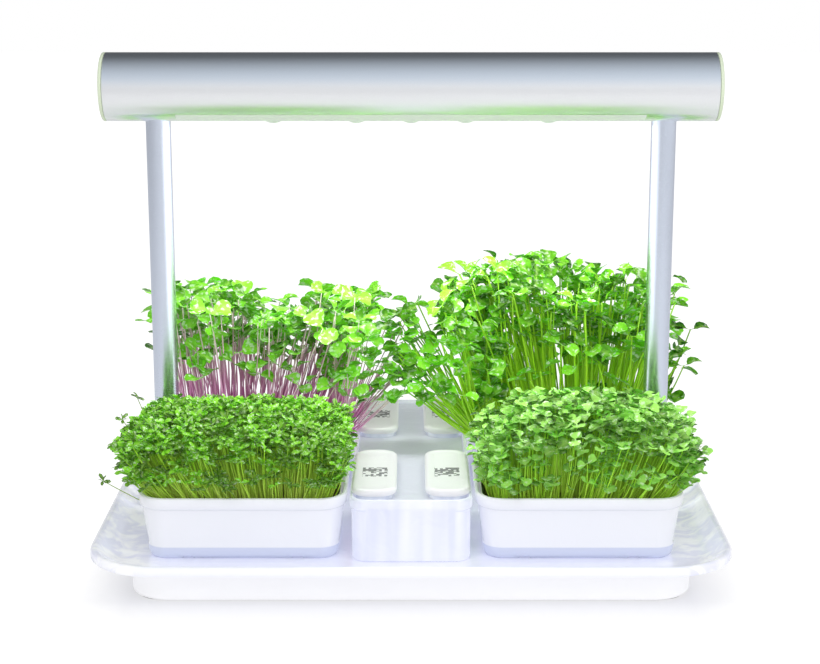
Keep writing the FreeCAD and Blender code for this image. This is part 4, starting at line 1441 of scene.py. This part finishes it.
@dataclass
class LeafShape:
    """A seed leaf. Its length, width and stalk are in metres; its notch, cup and droop are shares.

    The heel is how far it bulges at its stalk, the dent angle how wide the notch and the heel
    are, the egg how much wider it is towards its tip, and the ripple how wavy its blade is.
    """

    length: float
    width: float
    notch: float = 0.25
    cup: float = 0.25
    droop: float = 0.2
    stalk: float = 0.003
    sectors: int = 12
    rings: int = 2
    stalk_half: float = 0.0005
    heel: float = 0.16
    dent_angle: float = 0.5
    egg: float = 0.15
    ripple: float = 0.05

    def patch(
        self, turn: float, lift: float, scale: float, twist: float
    ) -> tuple[list[Vector], list[tuple[int, ...]], list[float]]:
        """One leaf turned about the stem: rings of points round its middle, and its own stalk.

        Args:
            turn: Its direction from the stem, in radians.
            lift: How steeply it rises, in radians.
            scale: Its size.
            twist: Its roll, in radians.

        Returns:
            Points, faces and the rib value of each point.
        """
        spin = Euler((twist, -lift, turn), "XYZ").to_matrix()
        outline = [self._at(0.0, 0.0)]
        ribs = [1.0]
        for number in range(1, self.rings + 1):
            for sector in range(self.sectors):
                outline.append(self._at(2 * math.pi * sector / self.sectors, number / self.rings))
                ribs.append(1.0 if sector in (0, self.sectors // 2) else 0.0)
        faces: list[tuple[int, ...]] = []
        for sector in range(self.sectors):
            after = (sector + 1) % self.sectors
            faces.append((0, 1 + sector, 1 + after))
            for number in range(1, self.rings):
                inner, outer = 1 + (number - 1) * self.sectors, 1 + number * self.sectors
                faces.append((inner + sector, outer + sector, outer + after, inner + after))
        root = self._at(math.pi, 0.8)
        base = len(outline)
        for forward, high in ((0.0, 0.0), (root.x, root.z)):
            outline += [Vector((forward, -self.stalk_half, high)), Vector((forward, self.stalk_half, high))]
            ribs += [0.6, 0.6]
        faces.append((base, base + 2, base + 3, base + 1))
        return [spin @ (point * scale) for point in outline], faces, ribs

    def _at(self, angle: float, share: float) -> Vector:
        """A point of the leaf before it is turned.

        Args:
            angle: The direction from the leaf's middle, 0 at its tip.
            share: How far out it lies, 1 at the edge.

        Returns:
            The point.
        """
        away = abs(math.remainder(angle, 2 * math.pi))
        heel = self.heel * math.exp(-(((math.pi - away) / self.dent_angle) ** 2))
        reach = 1.0 - self.notch * math.exp(-((away / self.dent_angle) ** 2)) + heel
        along = share * math.cos(angle) * reach
        across = share * math.sin(angle) * (1.0 + self.egg * math.cos(angle))
        high = self.cup * self.width / 2 * across**2 - self.droop * self.length * (0.5 + along / 2) ** 2
        high += self.ripple * self.length * math.sin(3 * angle + 1.0) * share**2
        return Vector((self.stalk + self.length / 2 * (1.0 + along), self.width / 2 * across, high))


@dataclass
class HeadShape:
    """The leaves at the top of one shoot, as turns, lifts, sizes and rolls of one leaf."""

    leaf: LeafShape
    leaves: list[tuple[float, float, float, float]]

    def build(self, name: str) -> bpy.types.Object:
        """Makes the head as a small mesh round the origin.

        Args:
            name: The object's name.

        Returns:
            The object.
        """
        points: list[Vector] = []
        faces: list[tuple[int, ...]] = []
        ribs: list[float] = []
        for turn, lift, scale, twist in self.leaves:
            more, patches, values = self.leaf.patch(turn, lift, scale, twist)
            base = len(points)
            points += more
            faces += [tuple(base + number for number in face) for face in patches]
            ribs += values
        return shoot_part(name, points, faces, "rib", ribs)


def stem_shape(name: str, sides: int = 5, rows: int = 5, bow: float = 2.0) -> bpy.types.Object:
    """A unit stem: one metre tall, one metre wide at its foot, tapered and gently bowed.

    Args:
        name: The object's name.
        sides: Its faces round.
        rows: Its pieces along.
        bow: How far its middle stands aside, in widths of its foot.

    Returns:
        The object.
    """
    points, rise = [], []
    for row in range(rows + 1):
        share = row / rows
        radius = 0.5 * (1.0 - 0.35 * share)
        aside = bow * math.sin(math.pi * share)
        for cos, sin in circle(sides):
            points.append((aside + radius * cos, radius * sin, share))
            rise.append(share)
    faces = bands(rows + 1, sides)
    faces.append(tuple(reversed(range(sides))))
    faces.append(tuple(range(rows * sides, (rows + 1) * sides)))
    return shoot_part(name, points, faces, "rise", rise)


@dataclass
class Crop:
    """The shoots of one tray. Lengths are in metres; shares run from 0 to 1.

    The skyline gives the tips' top level at places across the object, and the strays are
    single shoots that stand apart, as the place of each tip and how light its leaves are.
    """

    name: str
    corner: str
    head: HeadShape
    leaf_finish: Finish
    stem_finish: Finish
    shoots: int
    curtain: int
    stem_width: float
    skyline: tuple[Pair, ...]
    deep: float
    dome: float
    tilt: float
    seed: int
    strays: tuple[Stray, ...] = ()
    curtain_low: float = 0.0
    curtain_sides: tuple[str, ...] = ("left", "right", "front", "back")
    inward_more: float = 0.0
    size_spread: float = 0.25
    margin: float = 0.006
    topward: float = 1.6
    wander: float = 0.004
    cartridge_lift: float = 0.065
    lift_room: float = 0.010
    leaf_room: float = 0.021
    leans: bool = False
    parting: float = -0.005
    mat_share: float = 0.475
    mat_margin: float = 0.006
    stray_reach: float = 0.03
    stray_size: float = 0.9
    curtain_reach: float = 0.72
    shade_top: float = 1.15
    shade_sunk: float = 0.6
    margin_share: float = 0.8
    chance: random.Random = field(init=False)

    def __post_init__(self) -> None:
        """Seeds the crop's own chance."""
        self.chance = random.Random(self.seed)

    def build(self) -> None:
        """Makes the stems and the leaf heads and places both."""
        points = self._plan()
        head = self.head.build(f"{self.name}_head")
        stem = stem_shape(f"{self.name}_stem")
        pieces = (("stems", self.stem_finish, False), ("leaves", self.leaf_finish, True))
        made = [self._piece(points, label, finish, heads, stem, head) for label, finish, heads in pieces]
        for thing in (head, stem):
            bpy.data.objects.remove(thing)
        body = f"insert_{self.corner}"
        put(made[0], body)
        put(made[1], body, f"crop_{self.name}", slot=f"{self.name}_leaf")

    def top_at(self, x: float) -> float:
        """The skyline's level at a place across the object.

        Args:
            x: The place.

        Returns:
            The level, in metres.
        """
        before = self.skyline[0]
        for after in self.skyline:
            if x <= after[0]:
                span = max(after[0] - before[0], 1e-6)
                share = min(max((x - before[0]) / span, 0.0), 1.0)
                return before[1] + (after[1] - before[1]) * share
            before = after
        return before[1]

    def _plan(self) -> list[Shoot]:
        """Chooses each shoot's foot, tip, size and shade.

        Returns:
            One tuple for each shoot.
        """
        mat_low, mat_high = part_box(f"seed_mat_{self.corner}")
        middle, half = (mat_low + mat_high) / 2, (mat_high - mat_low) * self.mat_share
        low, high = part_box(f"crop_{self.name}")
        if "left" in self.corner:
            high.x += self.inward_more
        else:
            low.x -= self.inward_more
        plan = []
        chance = self.chance
        for number in range(self.shoots + self.curtain):
            in_curtain = number >= self.shoots
            u, v = chance.uniform(-1, 1), chance.uniform(-1, 1)
            if in_curtain:
                u, v = self._on_edge(u)
            bulge = (abs(u) ** 5 + abs(v) ** 5) ** 0.2
            u, v = u / max(1.0, bulge), v / max(1.0, bulge)
            foot = Vector((middle.x + u * half.x, middle.y + v * half.y, mat_high.z))
            out_x = (low.x + high.x) / 2 + u * ((high.x - low.x) / 2 - self.margin)
            out_y = (low.y + high.y) / 2 + v * ((high.y - low.y) / 2 - self.margin)
            edge = max(abs(u), abs(v))
            sunk = chance.random() ** self.topward
            level = self.top_at(out_x) - self.dome * edge**3 - self.deep * sunk
            share = 1.0
            if in_curtain:
                drop = chance.random()
                level = self.curtain_low + (level - self.curtain_low) * drop
                bulge = math.sin(math.pi * min(1.0, drop + 0.15))
                share = self.curtain_reach + (1.0 - self.curtain_reach) * bulge
            tip_x = foot.x + (out_x - foot.x) * share + chance.gauss(0, self.wander)
            tip_y = foot.y + (out_y - foot.y) * share + chance.gauss(0, self.wander)
            margin = self.margin * self.margin_share
            tip_x = min(max(tip_x, low.x + margin), high.x - margin)
            tip_y = min(max(tip_y, low.y + margin), high.y - margin)
            tip = Vector((tip_x, tip_y, level))
            if self.leans:
                tip = self._clear_of_cartridge(foot, tip, in_curtain)
            size = 1.0 + chance.uniform(-self.size_spread, self.size_spread)
            # The shade value is a random tone with painted shade: shoots sunk below the top are darker.
            shade = chance.random() * (self.shade_top - self.shade_sunk * sunk)
            plan.append((foot, tip - foot, size, shade))
        for x, y, z, shade in self.strays:
            outward = -self.stray_reach if "left" in self.corner else self.stray_reach
            near_x, near_y = mat_low.x + self.mat_margin, mat_low.y + self.mat_margin
            far_x, far_y = mat_high.x - self.mat_margin, mat_high.y - self.mat_margin
            foot_x = min(max(x + outward * chance.random(), near_x), far_x)
            foot_y = min(max(y, near_y + 0.01 * chance.random()), far_y)
            foot = Vector((foot_x, foot_y, mat_high.z))
            plan.append((foot, Vector((x, y, z)) - foot, self.stray_size, shade))
        return plan

    def _clear_of_cartridge(self, foot: Vector, tip: Vector, in_curtain: bool) -> Vector:
        """Moves a tip where its shoot would stand in the way of the lifted cartridge.

        Args:
            foot: Where the shoot starts.
            tip: Where it would end.
            in_curtain: Whether it is one of the curtain, which stays low.

        Returns:
            The tip, moved where it has to be.
        """
        low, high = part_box(f"cartridge_cap_{self.corner}")
        inward = 1.0 if "left" in self.corner else -1.0
        edge = low.x if inward > 0 else high.x
        top = high.z + self.cartridge_lift + self.lift_room
        leaf_top = top + self.leaf_room * 0.6
        if tip.z < leaf_top and inward * (tip.x - edge) > -self.leaf_room:
            if in_curtain:
                tip.x = edge - inward * self.leaf_room
            else:
                tip.z = leaf_top + self.chance.random() * 0.02
        limit = foot.x + (edge - foot.x) * (tip.z - foot.z) / (top - foot.z)
        if tip.z >= leaf_top and inward * (tip.x - limit) > 0.0:
            tip.x = limit
        tip.x = min(tip.x, self.parting) if inward > 0 else max(tip.x, self.parting)
        return tip

    def _on_edge(self, place: float) -> Pair:
        """A point on one of the edges that a curtain of leaves hangs from.

        Args:
            place: How far along the edge, from -1 to 1.

        Returns:
            The two shares across and along.
        """
        deep = self.chance.uniform(0.86, 1.0)
        side = self.chance.choice(self.curtain_sides)
        across = {"left": -deep, "right": deep}
        if side in across:
            return across[side], place
        return place, -deep if side == "front" else deep

    def _piece(
        self, plan: Sequence[Shoot], label: str, finish: Finish, heads: bool,
        stem: bpy.types.Object, head: bpy.types.Object,
    ) -> bpy.types.Object:
        """Turns the plan into one mesh of stems or of heads.

        Args:
            plan: The shoots.
            label: The piece's last name.
            finish: Its finish.
            heads: Leaf heads in place of stems.
            stem: The unit stem.
            head: The head.

        Returns:
            The baked piece.
        """
        mesh = bpy.data.meshes.new(f"{self.name}_{label}")
        mesh.from_pydata([tuple(foot) for foot, _, _, _ in plan], [], [])
        tips = mesh.attributes.new("tip", "FLOAT_VECTOR", "POINT")
        tips.data.foreach_set("vector", [value for _, tip, _, _ in plan for value in tip])
        keep_value(mesh, "size", [size for _, _, size, _ in plan])
        keep_value(mesh, "shade", [shade for _, _, _, shade in plan])
        piece = bpy.data.objects.new(f"{self.name}_{label}", mesh)
        bpy.context.scene.collection.objects.link(piece)
        modifier = piece.modifiers.new("shoots", "NODES")
        modifier.node_group = shoot_tree()
        set_inputs(modifier, {
            "Stem": stem, "Head": head, "Material": material_of(finish), "Stem Width": self.stem_width,
            "Head Size": 1.0, "Tilt": self.tilt, "Show Heads": heads, "Seed": self.seed,
        })
        return applied(piece)


def hanging(seed: int, count: int, across: Pair, level: Pair) -> tuple[Stray, ...]:
    """Single shoots that hang in the gap between the front and the rear cartridges.

    Args:
        seed: The seed of their places.
        count: How many.
        across: From where to where across the object.
        level: From which to which level.

    Returns:
        The place of each tip and how light its leaves are.
    """
    chance = random.Random(seed)
    return tuple(
        (chance.uniform(*across), chance.uniform(-0.002, 0.002), chance.uniform(*level), chance.random())
        for _ in range(count)
    )


def crops() -> list[Crop]:
    """The four crops.

    Returns:
        Cress, mustard, radish and tall greens.
    """
    narrow = LeafShape(0.0072, 0.0040, notch=0.0, cup=0.3, droop=0.2, stalk=0.0012, sectors=6, rings=1)
    cress_leaves = []
    for side in (0.0, math.pi):
        for fan in (-0.75, 0.0, 0.75):
            cress_leaves.append((side + fan, 0.35 + 0.2 * math.cos(3 * fan), 1.0 - 0.15 * abs(fan), fan))
    round_leaf = LeafShape(0.0082, 0.0105, notch=0.28, cup=0.3, droop=0.25, stalk=0.002, sectors=10, rings=1)
    radish_leaf = LeafShape(0.0150, 0.0170, notch=0.32, cup=0.35, droop=0.35, stalk=0.004)
    green_leaf = LeafShape(0.0165, 0.0150, notch=0.26, cup=0.4, droop=0.35, stalk=0.005)
    pair = [(0.0, 0.40, 1.0, 0.15), (math.pi, 0.25, 0.92, -0.2)]
    # The fifth value of each leaf and stem finish is a small painted glow, standing in for light through the
    # leaves and stems.
    return [
        Crop(
            "cress", "front_left", HeadShape(narrow, cress_leaves),
            Leafy(
                "cress_leaf", (0.24, 0.76, 0.015), 0.26, 0.0, 0.03,
                dark=(0.004, 0.045, 0.0005), glint=0.75, glint_scale=420.0,
            ),
            Stalk(
                "cress_stem", (0.42, 0.84, 0.03), 0.4, 0.0, 0.07,
                foot=(0.84, 0.96, 0.20), dark=(0.01, 0.05, 0.001),
            ),
            shoots=1150, curtain=420, stem_width=0.0011,
            skyline=((-0.26, 0.133), (-0.22, 0.146), (-0.07, 0.146), (-0.04, 0.138)),
            deep=0.014, dome=0.018, tilt=0.55, seed=11, curtain_low=0.094, inward_more=0.006,
            strays=(
                (-0.2567, -0.150, 0.0986, 0.0), (-0.252, -0.12, 0.121, 0.1), (-0.240, -0.06, 0.146, 0.0),
                (-0.249, -0.09, 0.135, 0.1),
            ),
        ),
        Crop(
            "mustard", "front_right", HeadShape(round_leaf, pair),
            Leafy(
                "mustard_leaf", (0.42, 0.94, 0.16), 0.28, 0.1, 0.03,
                dark=(0.008, 0.09, 0.001), glint=0.6, glint_scale=300.0,
            ),
            Stalk(
                "mustard_stem", (0.38, 0.84, 0.03), 0.4, 0.0, 0.07,
                foot=(0.72, 0.96, 0.12), dark=(0.01, 0.06, 0.001),
            ),
            shoots=820, curtain=340, stem_width=0.0012,
            skyline=((0.04, 0.132), (0.10, 0.152), (0.20, 0.152), (0.26, 0.134)),
            deep=0.018, dome=0.020, tilt=0.5, seed=23, curtain_low=0.092, inward_more=0.004, margin=0.009,
        ),
        Crop(
            "radish", "rear_left", HeadShape(radish_leaf, pair),
            Leafy("radish_leaf", (0.30, 0.90, 0.05), 0.22, 0.1, 0.06, dark=(0.008, 0.09, 0.001), glint=0.8),
            Stalk(
                "radish_stem", (0.94, 0.80, 0.76), 0.35, 0.0, 0.1,
                foot=(0.78, 0.22, 0.60), dark=(0.12, 0.06, 0.04), reach=0.36,
            ),
            shoots=215, curtain=120, stem_width=0.0015,
            skyline=(
                (-0.26, 0.200), (-0.235, 0.211), (-0.165, 0.211), (-0.145, 0.198), (-0.11, 0.196),
                (-0.085, 0.207), (-0.05, 0.205), (-0.02, 0.196),
            ),
            deep=0.056, dome=0.006, tilt=0.7, seed=37, curtain_low=0.128, wander=0.011,
            curtain_sides=("right", "right", "front", "back"), margin=0.017, inward_more=0.012, topward=1.3,
            strays=(
                (-0.237, 0.06, 0.212, 0.3), (-0.238, 0.05, 0.166, 0.0), (-0.083, 0.05, 0.217, 0.6),
                (-0.052, 0.05, 0.213, 0.8), (-0.070, 0.05, 0.20, 0.9),
            ) + hanging(5, 40, (-0.058, -0.004), (0.128, 0.204)),
            leans=True,
        ),
        Crop(
            "greens", "rear_right", HeadShape(green_leaf, pair),
            Leafy("greens_leaf", (0.31, 0.96, 0.04), 0.22, 0.1, 0.05, dark=(0.004, 0.07, 0.001), glint=0.95),
            Stalk(
                "greens_stem", (0.44, 0.92, 0.03), 0.35, 0.0, 0.08,
                foot=(0.56, 0.92, 0.04), dark=(0.04, 0.14, 0.003),
            ),
            shoots=330, curtain=190, stem_width=0.0022,
            skyline=(
                (-0.02, 0.186), (0.03, 0.200), (0.06, 0.232), (0.13, 0.236), (0.16, 0.222), (0.22, 0.224),
                (0.27, 0.190),
            ),
            deep=0.060, dome=0.006, tilt=0.7, seed=41, curtain_low=0.116, wander=0.009,
            curtain_sides=("left", "left", "left", "front", "back"), inward_more=0.030, margin=0.017,
            topward=1.3,
            strays=(
                (0.241, 0.06, 0.232, 0.1), (0.246, 0.06, 0.214, 0.3), (0.262, 0.06, 0.180, 0.0),
                (0.240, 0.05, 0.186, 0.0), (0.249, 0.05, 0.166, 0.0), (0.254, 0.04, 0.150, 0.2),
                (0.241, 0.04, 0.128, 0.0), (0.08, 0.05, 0.238, 0.8),
            ) + hanging(9, 60, (-0.012, 0.056), (0.128, 0.217)),
            leans=True,
        ),
    ]


def main() -> None:
    """Builds the stage and every sub-assembly in order."""
    logging.basicConfig(level=logging.INFO, format="%(name)s: %(message)s")
    Stage().build()
    Base().build()
    LightFrame().build()
    for corner in CORNERS:
        TrayStack(corner).build()
        Cartridge(corner).build()
    for crop in crops():
        crop.build()


if __name__ == "__main__":
    main()
